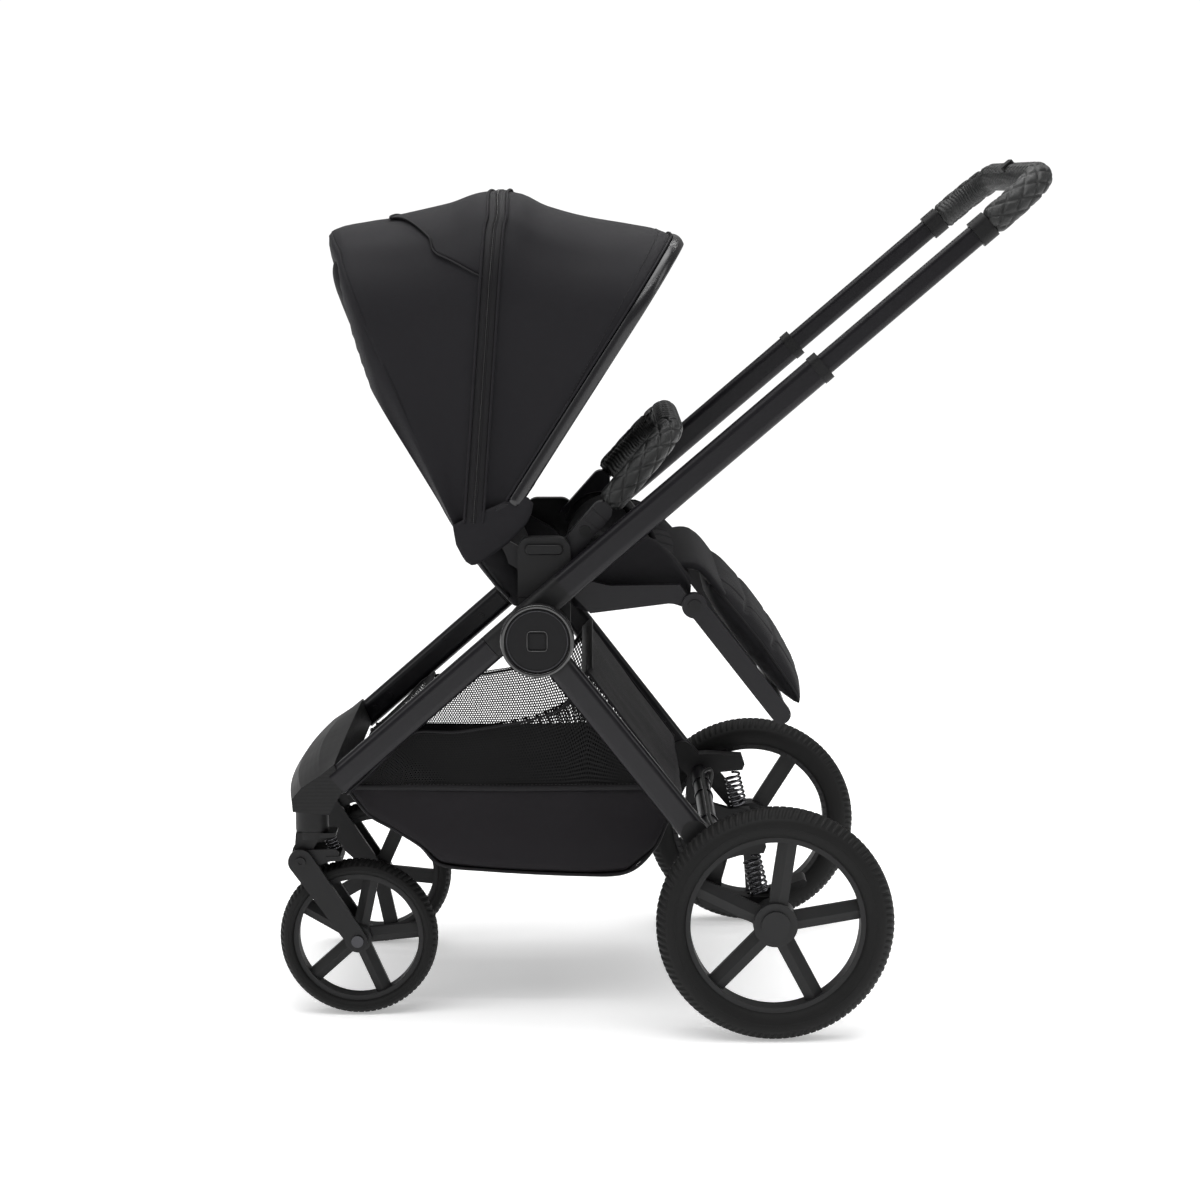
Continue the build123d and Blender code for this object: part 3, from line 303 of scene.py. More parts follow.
def weave_group() -> bpy.types.NodeTree:
    """Plain weave: threads that pass over and under each other."""
    w, given, end = new_group(Effect.WEAVE, {"Vector": None, "Threads": 1400.0}, ("Height", "Tone"))
    spread = w.vector("SCALE", given["Vector"])
    w.feed(spread.inputs["Scale"], w.calc("MULTIPLY", given["Threads"], math.pi))
    parts = w.node("ShaderNodeSeparateXYZ", {0: spread.outputs[0]})
    side = w.calc("SINE", w.calc("ADD", parts.outputs[0], w.calc("MULTIPLY", parts.outputs[2], 0.73)))
    along = w.calc("SINE", w.calc("ADD", parts.outputs[1], w.calc("MULTIPLY", parts.outputs[2], 0.68)))
    over = w.calc("GREATER_THAN", w.calc("MULTIPLY", side, along), 0.0)
    warp, weft = w.calc("ABSOLUTE", side), w.calc("ABSOLUTE", along)
    high = w.calc(
        "ADD", w.calc("MULTIPLY", over, warp),
        w.calc("MULTIPLY", w.calc("SUBTRACT", 1.0, over), weft),
    )
    wide = w.node("ShaderNodeTexNoise", {"Vector": given["Vector"], "Scale": 9.0, "Detail": 5.0})
    slub = w.node("ShaderNodeTexNoise", {"Vector": given["Vector"], "Scale": 260.0, "Detail": 2.0})
    w.feed(end.inputs["Height"], w.calc("ADD", high, w.calc("MULTIPLY", slub.outputs["Fac"], 0.8)))
    mixed = w.calc(
        "ADD", w.calc("MULTIPLY", wide.outputs["Fac"], 0.6),
        w.calc("MULTIPLY", slub.outputs["Fac"], 0.4),
    )
    w.feed(end.inputs["Tone"], mixed)
    return w.tree


def hide_group() -> bpy.types.NodeTree:
    """Creased cells of leatherette."""
    w, given, end = new_group(Effect.HIDE, {"Vector": None, "Scale": 700.0}, ("Height", "Tone"))
    bend = w.node("ShaderNodeTexNoise", {"Vector": given["Vector"], "Scale": 90.0, "Detail": 2.0})
    moved = w.vector(
        "ADD", given["Vector"],
        w.vector("MULTIPLY", bend.outputs["Color"], (0.003, 0.003, 0.003)).outputs[0],
    )
    cells = w.node(
        "ShaderNodeTexVoronoi", {"Vector": moved.outputs[0], "Scale": given["Scale"]},
        feature="DISTANCE_TO_EDGE",
    )
    crease = w.calc("MINIMUM", w.calc("MULTIPLY", cells.outputs["Distance"], 5.0), 1.0)
    w.feed(end.inputs["Height"], crease)
    w.feed(
        end.inputs["Tone"],
        w.calc("ADD", w.calc("MULTIPLY", crease, 0.4), w.calc("MULTIPLY", bend.outputs["Fac"], 0.6)),
    )
    return w.tree


def net_group() -> bpy.types.NodeTree:
    """Staggered round holes of a knitted net; Cover is 0 in a hole."""
    w, given, end = new_group(
        Effect.NET, {"Vector": None, "Pitch": 0.0042, "Hole": 0.275}, ("Cover", "Height", "Tone"),
    )
    parts = w.node("ShaderNodeSeparateXYZ", {0: given["Vector"]})
    across = w.calc("DIVIDE", parts.outputs[0], given["Pitch"])
    down = w.calc("DIVIDE", parts.outputs[1], w.calc("MULTIPLY", given["Pitch"], math.sqrt(3)))
    spans = []
    for shift in (0.0, 0.5):
        near = w.calc("SUBTRACT", w.calc("FRACT", w.calc("ADD", across, shift)), 0.5)
        high = w.calc(
            "MULTIPLY", w.calc("SUBTRACT", w.calc("FRACT", w.calc("ADD", down, shift)), 0.5),
            math.sqrt(3),
        )
        spans.append(
            w.calc("SQRT", w.calc("ADD", w.calc("MULTIPLY", near, near), w.calc("MULTIPLY", high, high)))
        )
    closest = w.calc("MINIMUM", spans[0], spans[1])
    w.feed(end.inputs["Cover"], w.calc("GREATER_THAN", closest, given["Hole"]))
    w.feed(end.inputs["Height"], closest)
    wide = w.node("ShaderNodeTexNoise", {"Vector": given["Vector"], "Scale": 30.0, "Detail": 3.0})
    w.feed(end.inputs["Tone"], wide.outputs["Fac"])
    return w.tree


def scuff_group() -> bpy.types.NodeTree:
    """Sparse fine scratches and rubbed spots."""
    w, given, end = new_group(Effect.SCUFF, {"Vector": None, "Amount": 0.3}, ("Mask",))
    long = w.vector("MULTIPLY", given["Vector"], (60.0, 420.0, 420.0))
    lines = w.node(
        "ShaderNodeTexNoise",
        {"Vector": long.outputs[0], "Scale": 1.0, "Detail": 4.0, "Roughness": 0.7},
    )
    patch = w.node("ShaderNodeTexNoise", {"Vector": given["Vector"], "Scale": 22.0, "Detail": 3.0})
    sharp = w.calc("MULTIPLY", w.calc("MAXIMUM", w.calc("SUBTRACT", lines.outputs["Fac"], 0.6), 0.0), 5.0)
    spots = w.calc("MAXIMUM", w.calc("SUBTRACT", patch.outputs["Fac"], 0.45), 0.0)
    w.feed(
        end.inputs["Mask"],
        w.calc("MULTIPLY", w.calc("MULTIPLY", sharp, spots), w.calc("MULTIPLY", given["Amount"], 4.0)),
    )
    return w.tree


def dust_group() -> bpy.types.NodeTree:
    """Faint dust on faces that look up."""
    w, given, end = new_group(Effect.DUST, {"Vector": None, "Amount": 0.1}, ("Mask",))
    up = w.node("ShaderNodeSeparateXYZ", {0: w.node("ShaderNodeNewGeometry").outputs["Normal"]})
    lift = w.calc("MAXIMUM", up.outputs[2], 0.0)
    specks = w.node(
        "ShaderNodeTexNoise",
        {"Vector": given["Vector"], "Scale": 160.0, "Detail": 6.0, "Roughness": 0.75},
    )
    w.feed(
        end.inputs["Mask"],
        w.calc("MULTIPLY", w.calc("MULTIPLY", lift, specks.outputs["Fac"]), given["Amount"]),
    )
    return w.tree


def ribs_group() -> bpy.types.NodeTree:
    """Shallow level ribs, a few millimetres apart."""
    w, given, end = new_group(Effect.RIBS, {"Vector": None, "Pitch": 0.004}, ("Height", "Tone"))
    parts = w.node("ShaderNodeSeparateXYZ", {0: given["Vector"]})
    turn = w.calc("MULTIPLY", w.calc("DIVIDE", parts.outputs[2], given["Pitch"]), 2 * math.pi)
    w.feed(end.inputs["Height"], w.calc("ADD", w.calc("MULTIPLY", w.calc("SINE", turn), 0.5), 0.5))
    wide = w.node("ShaderNodeTexNoise", {"Vector": given["Vector"], "Scale": 18.0, "Detail": 3.0})
    w.feed(end.inputs["Tone"], wide.outputs["Fac"])
    return w.tree


GROUP_BUILDERS: dict[Effect, Callable[[], bpy.types.NodeTree]] = {
    Effect.GRAIN: grain_group,
    Effect.WEAVE: weave_group,
    Effect.HIDE: hide_group,
    Effect.NET: net_group,
    Effect.SCUFF: scuff_group,
    Effect.DUST: dust_group,
    Effect.RIBS: ribs_group,
}


# ---- finishes ---------------------------------------------------------------------------------


@dataclass(frozen=True)
class Finish:
    """How one kind of surface looks; sizes are in metres."""

    name: str
    colour: tuple[float, float, float]
    roughness: float
    effect: Effect = Effect.GRAIN
    scale: float = 900.0
    relief: float = 0.00008
    variation: float = 0.16
    metallic: float = 0.0
    specular: float = 0.5
    coat: float = 0.0
    sheen: float = 0.0
    scuffs: float = 0.15
    dust: float = 0.02
    on_uv: bool = False

    def material(self) -> bpy.types.Material:
        """The node material of this finish, built once."""
        made = bpy.data.materials.get(self.name)
        if made:
            return made
        made = bpy.data.materials.new(self.name)
        made.use_nodes = True
        made.node_tree.nodes.clear()
        w = Wiring(made.node_tree)
        place = w.node("ShaderNodeTexCoord").outputs["UV" if self.on_uv else "Object"]
        solid = w.node("ShaderNodeTexCoord").outputs["Object"]
        size = {Effect.WEAVE: "Threads", Effect.NET: "Pitch", Effect.RIBS: "Pitch"}.get(self.effect, "Scale")
        main = w.node("ShaderNodeGroup", node_tree=group_tree(self.effect))
        w.feed(main.inputs["Vector"], place)
        w.feed(main.inputs[size], self.scale)
        scuff = w.node("ShaderNodeGroup", node_tree=group_tree(Effect.SCUFF))
        w.feed(scuff.inputs["Vector"], solid)
        w.feed(scuff.inputs["Amount"], self.scuffs)
        dust = w.node("ShaderNodeGroup", node_tree=group_tree(Effect.DUST))
        w.feed(dust.inputs["Vector"], solid)
        w.feed(dust.inputs["Amount"], self.dust)
        low, high = 1 - self.variation, 1 + self.variation
        tone = w.node("ShaderNodeMix", data_type="RGBA")
        w.feed(tone.inputs["Factor"], main.outputs["Tone"])
        w.feed(tone.inputs["A"], (*(c * low for c in self.colour), 1.0))
        w.feed(tone.inputs["B"], (*(c * high for c in self.colour), 1.0))
        worn = w.node("ShaderNodeMix", data_type="RGBA")
        w.feed(worn.inputs["Factor"], scuff.outputs["Mask"])
        w.feed(worn.inputs["A"], tone.outputs["Result"])
        w.feed(worn.inputs["B"], (*(c * 2.2 + 0.004 for c in self.colour), 1.0))
        dusty = w.node("ShaderNodeMix", data_type="RGBA")
        w.feed(dusty.inputs["Factor"], dust.outputs["Mask"])
        w.feed(dusty.inputs["A"], worn.outputs["Result"])
        w.feed(dusty.inputs["B"], (0.16, 0.15, 0.14, 1.0))
        rough = w.calc(
            "ADD", w.calc("MULTIPLY", w.calc("SUBTRACT", main.outputs["Tone"], 0.5), 0.12),
            self.roughness,
        )
        bump = w.node(
            "ShaderNodeBump",
            {"Height": main.outputs["Height"], "Distance": self.relief, "Strength": 1.0},
        )
        shader = w.node("ShaderNodeBsdfPrincipled")
        w.feed(shader.inputs["Base Color"], dusty.outputs["Result"])
        w.feed(
            shader.inputs["Roughness"],
            w.calc("ADD", rough, w.calc("MULTIPLY", dust.outputs["Mask"], 0.5)),
        )
        w.feed(shader.inputs["Metallic"], self.metallic)
        w.feed(shader.inputs["Specular IOR Level"], self.specular)
        w.feed(shader.inputs["Coat Weight"], self.coat)
        w.feed(shader.inputs["Coat Roughness"], 0.12)
        w.feed(shader.inputs["Sheen Weight"], self.sheen)
        w.feed(shader.inputs["Sheen Roughness"], 0.45)
        w.feed(shader.inputs["Normal"], bump.outputs["Normal"])
        if self.effect is Effect.NET:
            w.feed(shader.inputs["Alpha"], main.outputs["Cover"])
        end = w.node("ShaderNodeOutputMaterial")
        w.tree.links.new(shader.outputs[0], end.inputs["Surface"])
        return made


SATIN_TUBE = Finish(
    "Satin black tube", (0.0066, 0.0060, 0.0078), 0.3, scale=2600, relief=0.00002, metallic=0.1,
    specular=0.34,
)
MOULDED = Finish(
    "Moulded black plastic", (0.0062, 0.0061, 0.0066), 0.46, scale=1500, relief=0.00005,
    specular=0.3,
)
CAP = Finish("Matt hub cap", (0.0060, 0.0058, 0.0066), 0.5, scale=900, relief=0.00003, specular=0.22)
RIBBED = Finish(
    "Ribbed black plastic", (0.0074, 0.0074, 0.0077), 0.45, Effect.RIBS, 0.0045, 0.00006,
    specular=0.26,
)
WHEEL = Finish("Matt wheel plastic", (0.0102, 0.0102, 0.0107), 0.5, scale=1200, relief=0.00006, specular=0.34)
GLOSS = Finish(
    "Polished black", (0.0037, 0.0037, 0.0040), 0.14, scale=300, relief=0.00001, coat=1.0,
    scuffs=0.05,
)
BAND = Finish("Glossy canopy band", (0.0062, 0.0059, 0.0074), 0.27, scale=500, relief=0.00003, specular=0.6)
STEEL = Finish("Black steel", (0.06, 0.06, 0.065), 0.3, scale=1800, relief=0.00002, metallic=0.9)
SPRING = Finish("Plated spring wire", (0.14, 0.14, 0.15), 0.24, scale=900, relief=0.00002, metallic=1.0)
RUBBER = Finish(
    "Tyre rubber", (0.0078, 0.0078, 0.0078), 0.62, scale=700, relief=0.00012, specular=0.2,
    dust=0.02,
)
SLEEVE = Finish("Cable sleeve", (0.0074, 0.0074, 0.0074), 0.4, scale=1200)
HIDE = Finish("Black leatherette", (0.0096, 0.0102, 0.0102), 0.40, Effect.HIDE, 620.0, 0.00016, specular=0.5)
CANOPY = Finish(
    "Canopy cloth", (0.0093, 0.0087, 0.0109), 0.66, Effect.WEAVE, 1300.0, 0.00006, specular=0.22,
    sheen=0.03, on_uv=True,
)
LINER = Finish(
    "Seat liner cloth", (0.0077, 0.0073, 0.0088), 0.74, Effect.WEAVE, 1100.0, 0.00008, specular=0.2,
    sheen=0.03,
)
PANEL = Finish(
    "Basket cloth", (0.0090, 0.0077, 0.0096), 0.72, Effect.WEAVE, 1000.0, 0.0001, specular=0.2,
    sheen=0.03, on_uv=True,
)
NET = Finish(
    "Basket net", (0.0068, 0.0068, 0.0071), 0.7, Effect.NET, 0.0034, 0.0002, specular=0.2,
    on_uv=True,
)
TAPE = Finish(
    "Woven binding tape", (0.0060, 0.0056, 0.0068), 0.6, Effect.WEAVE, 900.0, 0.00006, specular=0.25,
)
THREAD = Finish("Sewing thread", (0.0124, 0.0121, 0.0130), 0.6, Effect.GRAIN, 3000.0, 0.00003)

CAD_FINISHES: dict[str, Finish] = {
    "tube_black": SATIN_TUBE,
    "moulded_black": MOULDED,
    "wheel_black": WHEEL,
    "gloss_black": GLOSS,
    "axle_steel": STEEL,
    "spring_steel": SPRING,
    "tyre_black": RUBBER,
    "cable_black": SLEEVE,
    "leatherette": HIDE,
    "canopy_fabric": CANOPY,
    "seat_fabric": LINER,
    "basket_fabric": PANEL,
}
NODE_FINISHES: dict[str, Finish] = {"front_panel": RIBBED, "hub_caps": CAP}


# ---- mesh building ------------------------------------------------------------------------------


def new_object(name: str, mesh: bpy.types.Mesh) -> bpy.types.Object:
    """Puts a mesh in the scene at the origin."""
    made = bpy.data.objects.new(name, mesh)
    bpy.context.scene.collection.objects.link(made)
    return made


def lay_grid(
    name: str, rows: Sequence[Sequence[Vector]], wrap: bool = False, caps: bool = False,
) -> bpy.types.Object:
    """Skin over rows of points, with a UV map in metres.

    Args:
        name: Name of the object.
        rows: Rows of points, all of one length, in metres.
        wrap: Closes each row into a ring.
        caps: Fills the first and the last ring.

    Returns:
        The new object, smooth shaded.
    """
    mesh = bpy.data.meshes.new(name)
    bm = bmesh.new()
    uv = bm.loops.layers.uv.new("UVMap")
    columns = len(rows[0])
    verts = [[bm.verts.new(point) for point in row] for row in rows]
    middle = rows[len(rows) // 2]
    ring = [*middle, middle[0]] if wrap else list(middle)
    across = [0.0]
    for a, b in zip(ring, ring[1:]):
        across.append(across[-1] + (b - a).length)
    down = [0.0]
    for upper, lower in zip(rows, rows[1:]):
        down.append(down[-1] + sum((a - b).length for a, b in zip(upper, lower)) / columns)
    for r in range(len(rows) - 1):
        for c in range(columns if wrap else columns - 1):
            n = (c + 1) % columns
            face = bm.faces.new((verts[r][c], verts[r][n], verts[r + 1][n], verts[r + 1][c]))
            for loop, spot in zip(face.loops, ((c, r), (c + 1, r), (c + 1, r + 1), (c, r + 1))):
                loop[uv].uv = (across[spot[0]], down[spot[1]])
    if caps:
        for row in (verts[0], verts[-1]):
            hub = bm.verts.new(sum((v.co for v in row), Vector()) / columns)
            for c in range(columns):
                face = bm.faces.new((row[c], row[(c + 1) % columns], hub))
                for loop in face.loops:
                    loop[uv].uv = (loop.vert.co.y, loop.vert.co.z)
    bmesh.ops.recalc_face_normals(bm, faces=bm.faces)
    bm.to_mesh(mesh)
    bm.free()
    mesh.shade_smooth()
    return new_object(name, mesh)


def weld(obj: bpy.types.Object) -> bpy.types.Object:
    """Joins the first and last rows of a closed ring and faces it outward."""
    bm = bmesh.new()
    bm.from_mesh(obj.data)
    bmesh.ops.remove_doubles(bm, verts=bm.verts, dist=WELD_DISTANCE)
    bmesh.ops.recalc_face_normals(bm, faces=bm.faces)
    bm.to_mesh(obj.data)
    bm.free()
    return obj


def sweep(
    name: str, line: Sequence[Vector], outline: Callable[[float, float], list[Side]], up: Vector,
    caps: bool = True,
) -> bpy.types.Object:
    """Skin of an outline that moves along a line.

    Args:
        name: Name of the object.
        line: Points of the line, in metres.
        outline: Gives the ring at a distance along the line and the line's length, in metres,
            as (across, up) offsets.
        up: Direction that the outline's second offset points in, roughly.
        caps: Fills both ends.

    Returns:
        The new object.
    """
    rows, travelled = [], 0.0
    total = sum((b - a).length for a, b in zip(line, line[1:]))
    for index, point in enumerate(line):
        if index:
            travelled += (point - line[index - 1]).length
        along = (line[min(index + 1, len(line) - 1)] - line[max(index - 1, 0)]).normalized()
        across = along.cross(up).normalized()
        lift = across.cross(along)
        rows.append([point + across * a + lift * b for a, b in outline(travelled, total)])
    return lay_grid(name, rows, wrap=True, caps=caps)


def cord_outline(radius: float, sides: int = 8) -> Callable[[float, float], list[Side]]:
    """Round section for sweep()."""
    ring = [
        (radius * math.cos(2 * math.pi * i / sides), radius * math.sin(2 * math.pi * i / sides))
        for i in range(sides)
    ]
    return lambda travelled, total: ring


def tape_outline(width: float, thickness: float) -> Callable[[float, float], list[Side]]:
    """Flat section with rounded edges for sweep()."""
    w, t = width / 2, thickness / 2
    ring = [
        (-w, 0), (-w * 0.92, -t), (0, -t * 1.1), (w * 0.92, -t), (w, 0), (w * 0.92, t),
        (0, t * 1.1), (-w * 0.92, t),
    ]
    return lambda travelled, total: ring


def settle(obj: bpy.types.Object) -> bpy.types.Object:
    """Turns an object's modifiers into plain mesh and removes them."""
    bpy.context.view_layer.update()
    graph = bpy.context.evaluated_depsgraph_get()
    plain = bpy.data.meshes.new_from_object(obj.evaluated_get(graph), depsgraph=graph)
    old = obj.data
    obj.modifiers.clear()
    obj.data = plain
    if old.users == 0:
        bpy.data.meshes.remove(old)
    return obj


def thicken(obj: bpy.types.Object, thickness: float, smooth: int = 0) -> bpy.types.Object:
    """Gives a sheet a wall on its inner side.

    Args:
        obj: The sheet.
        thickness: Wall in metres.
        smooth: Levels of subdivision afterwards.

    Returns:
        The same object, plain mesh.
    """
    wall = obj.modifiers.new("Wall", "SOLIDIFY")
    wall.thickness = thickness
    wall.offset = -1
    if smooth:
        soft = obj.modifiers.new("Smooth", "SUBSURF")
        soft.levels = soft.render_levels = smooth
    return settle(obj)


def ruffle(obj: bpy.types.Object, depth: float, scale: float, seed: float = 0.0) -> None:
    """Moves a mesh's points a little along their normals, as cloth wrinkles."""
    shift = Vector((seed, 2 * seed, -seed))
    normals = [v.normal.copy() for v in obj.data.vertices]
    for vertex, normal in zip(obj.data.vertices, normals):
        vertex.co += normal * depth * noise.noise(vertex.co * scale + shift)
    obj.data.update()


def score(obj: bpy.types.Object, lines: Sequence[Sequence[Vector]], depth: float, width: float) -> None:
    """Presses sewn channels into a mesh.

    Args:
        obj: The padded mesh.
        lines: Seam lines, as points in metres.
        depth: Depth of a channel in metres.
        width: Half width of a channel in metres.
    """
    spots = [p for line in lines for p in chain(line, width * 0.7)]
    if not spots:
        return
    from mathutils.kdtree import KDTree

    tree = KDTree(len(spots))
    for index, spot in enumerate(spots):
        tree.insert(spot, index)
    tree.balance()
    normals = [v.normal.copy() for v in obj.data.vertices]
    for vertex, normal in zip(obj.data.vertices, normals):
        gap = tree.find(vertex.co)[2]
        if gap < 3 * width:
            vertex.co -= normal * depth * math.exp(-((gap / width) ** 2))
    obj.data.update()


def plump(
    obj: bpy.types.Object, voxel: float, cap: float, pressure: float = 4.0, frames: int = 16,
) -> bpy.types.Object:
    """Fills a closed mesh as padded cloth: remesh, a short cloth simulation, one subdivision.

    Args:
        obj: Closed starting shape, a little smaller than the pad.
        voxel: Remesh size in metres.
        cap: Farthest that a point may move, in metres.
        pressure: Pressure inside the pad.
        frames: Simulation steps.

    Returns:
        The same object, plain mesh.
    """
    remesh = obj.modifiers.new("Even mesh", "REMESH")
    remesh.mode, remesh.voxel_size = "VOXEL", voxel
    settle(obj)
    start = [v.co.copy() for v in obj.data.vertices]
    cloth = obj.modifiers.new("Filling", "CLOTH")
    cloth.settings.use_pressure = True
    cloth.settings.uniform_pressure_force = pressure
    cloth.settings.effector_weights.gravity = 0
    cloth.settings.quality = 4
    cloth.settings.tension_stiffness = 25
    cloth.point_cache.frame_end = frames
    for step in range(1, frames + 1):
        bpy.context.scene.frame_set(step)
    settle(obj)
    bpy.context.scene.frame_set(1)
    for vertex, rest in zip(obj.data.vertices, start):
        move = vertex.co - rest
        if move.length > cap:
            vertex.co = rest + move.normalized() * cap
    soft = obj.modifiers.new("Smooth", "SUBSURF")
    soft.levels = soft.render_levels = 1
    settle(obj)
    obj.data.shade_smooth()
    return obj


# ---- geometry node trees for what repeats ---------------------------------------------------------


class Repeats:
    """Geometry node trees that copy one small shape many times."""

    @staticmethod
    def start(
        name: str, sockets: dict[str, tuple[str, str]],
    ) -> tuple[Wiring, bpy.types.Node, bpy.types.Node]:
        """Starts a geometry tree.

        Args:
            name: Name of the tree.
            sockets: Socket name to (direction, socket type).

        Returns:
            The wiring, the input node and the output node.
        """
        tree = bpy.data.node_groups.new(name, "GeometryNodeTree")
        for label, (way, kind) in sockets.items():
            tree.interface.new_socket(name=label, in_out=way, socket_type=kind)
        w = Wiring(tree)
        return w, w.node("NodeGroupInput"), w.node("NodeGroupOutput")

    @classmethod
    def ring_tree(cls) -> bpy.types.NodeTree:
        """Copies round an axle along Y: inputs Count, Centre and Finish."""
        made = bpy.data.node_groups.get("Copies round an axle")
        if made:
            return made
        w, given, end = cls.start(
            "Copies round an axle",
            {
                "Geometry": ("INPUT", "NodeSocketGeometry"),
                "Count": ("INPUT", "NodeSocketInt"),
                "Centre": ("INPUT", "NodeSocketVector"),
                "Finish": ("INPUT", "NodeSocketMaterial"),
                "Result": ("OUTPUT", "NodeSocketGeometry"),
            },
        )
        points = w.node("GeometryNodePoints", {"Count": given.outputs["Count"]})
        number = w.node("GeometryNodeInputIndex").outputs[0]
        step = w.calc("DIVIDE", 2 * math.pi, given.outputs["Count"])
        turn = w.node("ShaderNodeCombineXYZ", {1: w.calc("MULTIPLY", number, step)})
        copies = w.node(
            "GeometryNodeInstanceOnPoints",
            {"Points": points.outputs[0], "Instance": given.outputs["Geometry"], "Rotation": turn.outputs[0]},
        )
        placed = w.node(
            "GeometryNodeTransform",
            {"Geometry": copies.outputs[0], "Translation": given.outputs["Centre"]},
        )
        cls.close(w, placed.outputs[0], given.outputs["Finish"], end)
        return w.tree

    @classmethod
    def line_tree(cls) -> bpy.types.NodeTree:
        """Copies along a curve: inputs Line, Spacing and Finish."""
        made = bpy.data.node_groups.get("Copies along a line")
        if made:
            return made
        w, given, end = cls.start(
            "Copies along a line",
            {
                "Geometry": ("INPUT", "NodeSocketGeometry"),
                "Line": ("INPUT", "NodeSocketObject"),
                "Spacing": ("INPUT", "NodeSocketFloat"),
                "Finish": ("INPUT", "NodeSocketMaterial"),
                "Result": ("OUTPUT", "NodeSocketGeometry"),
            },
        )
        seam = w.node("GeometryNodeObjectInfo", {"Object": given.outputs["Line"]})
        even = w.node(
            "GeometryNodeResampleCurve",
            {"Curve": seam.outputs["Geometry"], "Length": given.outputs["Spacing"]}, mode="LENGTH",
        )
        along = w.node("GeometryNodeInputTangent").outputs[0]
        turn = w.node("FunctionNodeAlignRotationToVector", {"Vector": along}, axis="X")
        copies = w.node(
            "GeometryNodeInstanceOnPoints",
            {"Points": even.outputs[0], "Instance": given.outputs["Geometry"], "Rotation": turn.outputs[0]},
        )
        cls.close(w, copies.outputs[0], given.outputs["Finish"], end)
        return w.tree

    @staticmethod
    def close(w: Wiring, copies: Socket, finish: Socket, end: bpy.types.Node) -> None:
        """Ends a tree in Realize Instances and Set Material."""
        real = w.node("GeometryNodeRealizeInstances", {"Geometry": copies})
        dressed = w.node("GeometryNodeSetMaterial", {"Geometry": real.outputs[0], "Material": finish})
        w.feed(end.inputs["Result"], dressed.outputs[0])

    @staticmethod
    def run(obj: bpy.types.Object, tree: bpy.types.NodeTree, values: dict[str, object]) -> bpy.types.Object:
        """Runs a tree on an object and keeps the result as plain mesh."""
        work = obj.modifiers.new("Copies", "NODES")
        work.node_group = tree
        for item in tree.interface.items_tree:
            if item.item_type == "SOCKET" and item.in_out == "INPUT" and item.name in values:
                work[item.identifier] = values[item.name]
        return settle(obj)

    @classmethod
    def round_axle(
        cls, obj: bpy.types.Object, count: int, centre: Vector, finish: Finish,
    ) -> bpy.types.Object:
        """Copies a shape, modelled with the axle at the origin, round an axle."""
        return cls.run(obj, cls.ring_tree(), {"Count": count, "Centre": centre, "Finish": finish.material()})

    @classmethod
    def along(
        cls, obj: bpy.types.Object, line: Sequence[Vector], spacing: float, finish: Finish,
    ) -> bpy.types.Object:
        """Copies a shape, modelled along +X at the origin, along a line."""
        curve = bpy.data.curves.new(obj.name + "_line", "CURVE")
        curve.dimensions = "3D"
        spline = curve.splines.new("POLY")
        spline.points.add(len(line) - 1)
        for point, spot in zip(spline.points, line):
            point.co = (*spot, 1.0)
        guide = bpy.data.objects.new(obj.name + "_line", curve)
        bpy.context.scene.collection.objects.link(guide)
        cls.run(obj, cls.line_tree(), {"Line": guide, "Spacing": spacing, "Finish": finish.material()})
        bpy.data.objects.remove(guide)
        bpy.data.curves.remove(curve)
        return obj


def stitch_shape(name: str, length: float = 0.0032, radius: float = 0.00035) -> bpy.types.Object:
    """One raised stitch along +X."""
    line = [Vector((length * (t - 0.5), 0, 0)) for t in (0.0, 0.25, 0.75, 1.0)]
    swell = (0.35, 1.0, 1.0, 0.35)
    rows = [
        [
            p + Vector((0, radius * s * math.cos(a), radius * s * math.sin(a)))
            for a in (0, 1.257, 2.513, 3.77, 5.027)
        ]
        for p, s in zip(line, swell)
    ]
    return lay_grid(name, rows, wrap=True, caps=True)


# ---- putting pieces on the frame ------------------------------------------------------------------


@dataclass
class Piece:
    """A finished mesh and where it belongs."""

    obj: bpy.types.Object
    body: str
    slot: str
    finish: Finish
    stands_for: tuple[str, ...] = ()
    bends: tuple[str, Vector, Vector] | None = None
    fill: float | None = None

    def install(self) -> None:
        """Dresses the mesh and ties it to its body; a piece given bends is only baked in place and is not
        tied to a body.
        """
        mesh = self.obj.data
        mesh.materials.clear()
        mesh.materials.append(self.finish.material())
        if self.bends:
            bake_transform(self.obj)
        else:
            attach(self.obj, self.body)
        if self.stands_for:
            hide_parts(*self.stands_for)
        log.info("%s on %s: %d faces", self.obj.name, self.body, len(mesh.polygons))


# ---- canopy ---------------------------------------------------------------------------------------


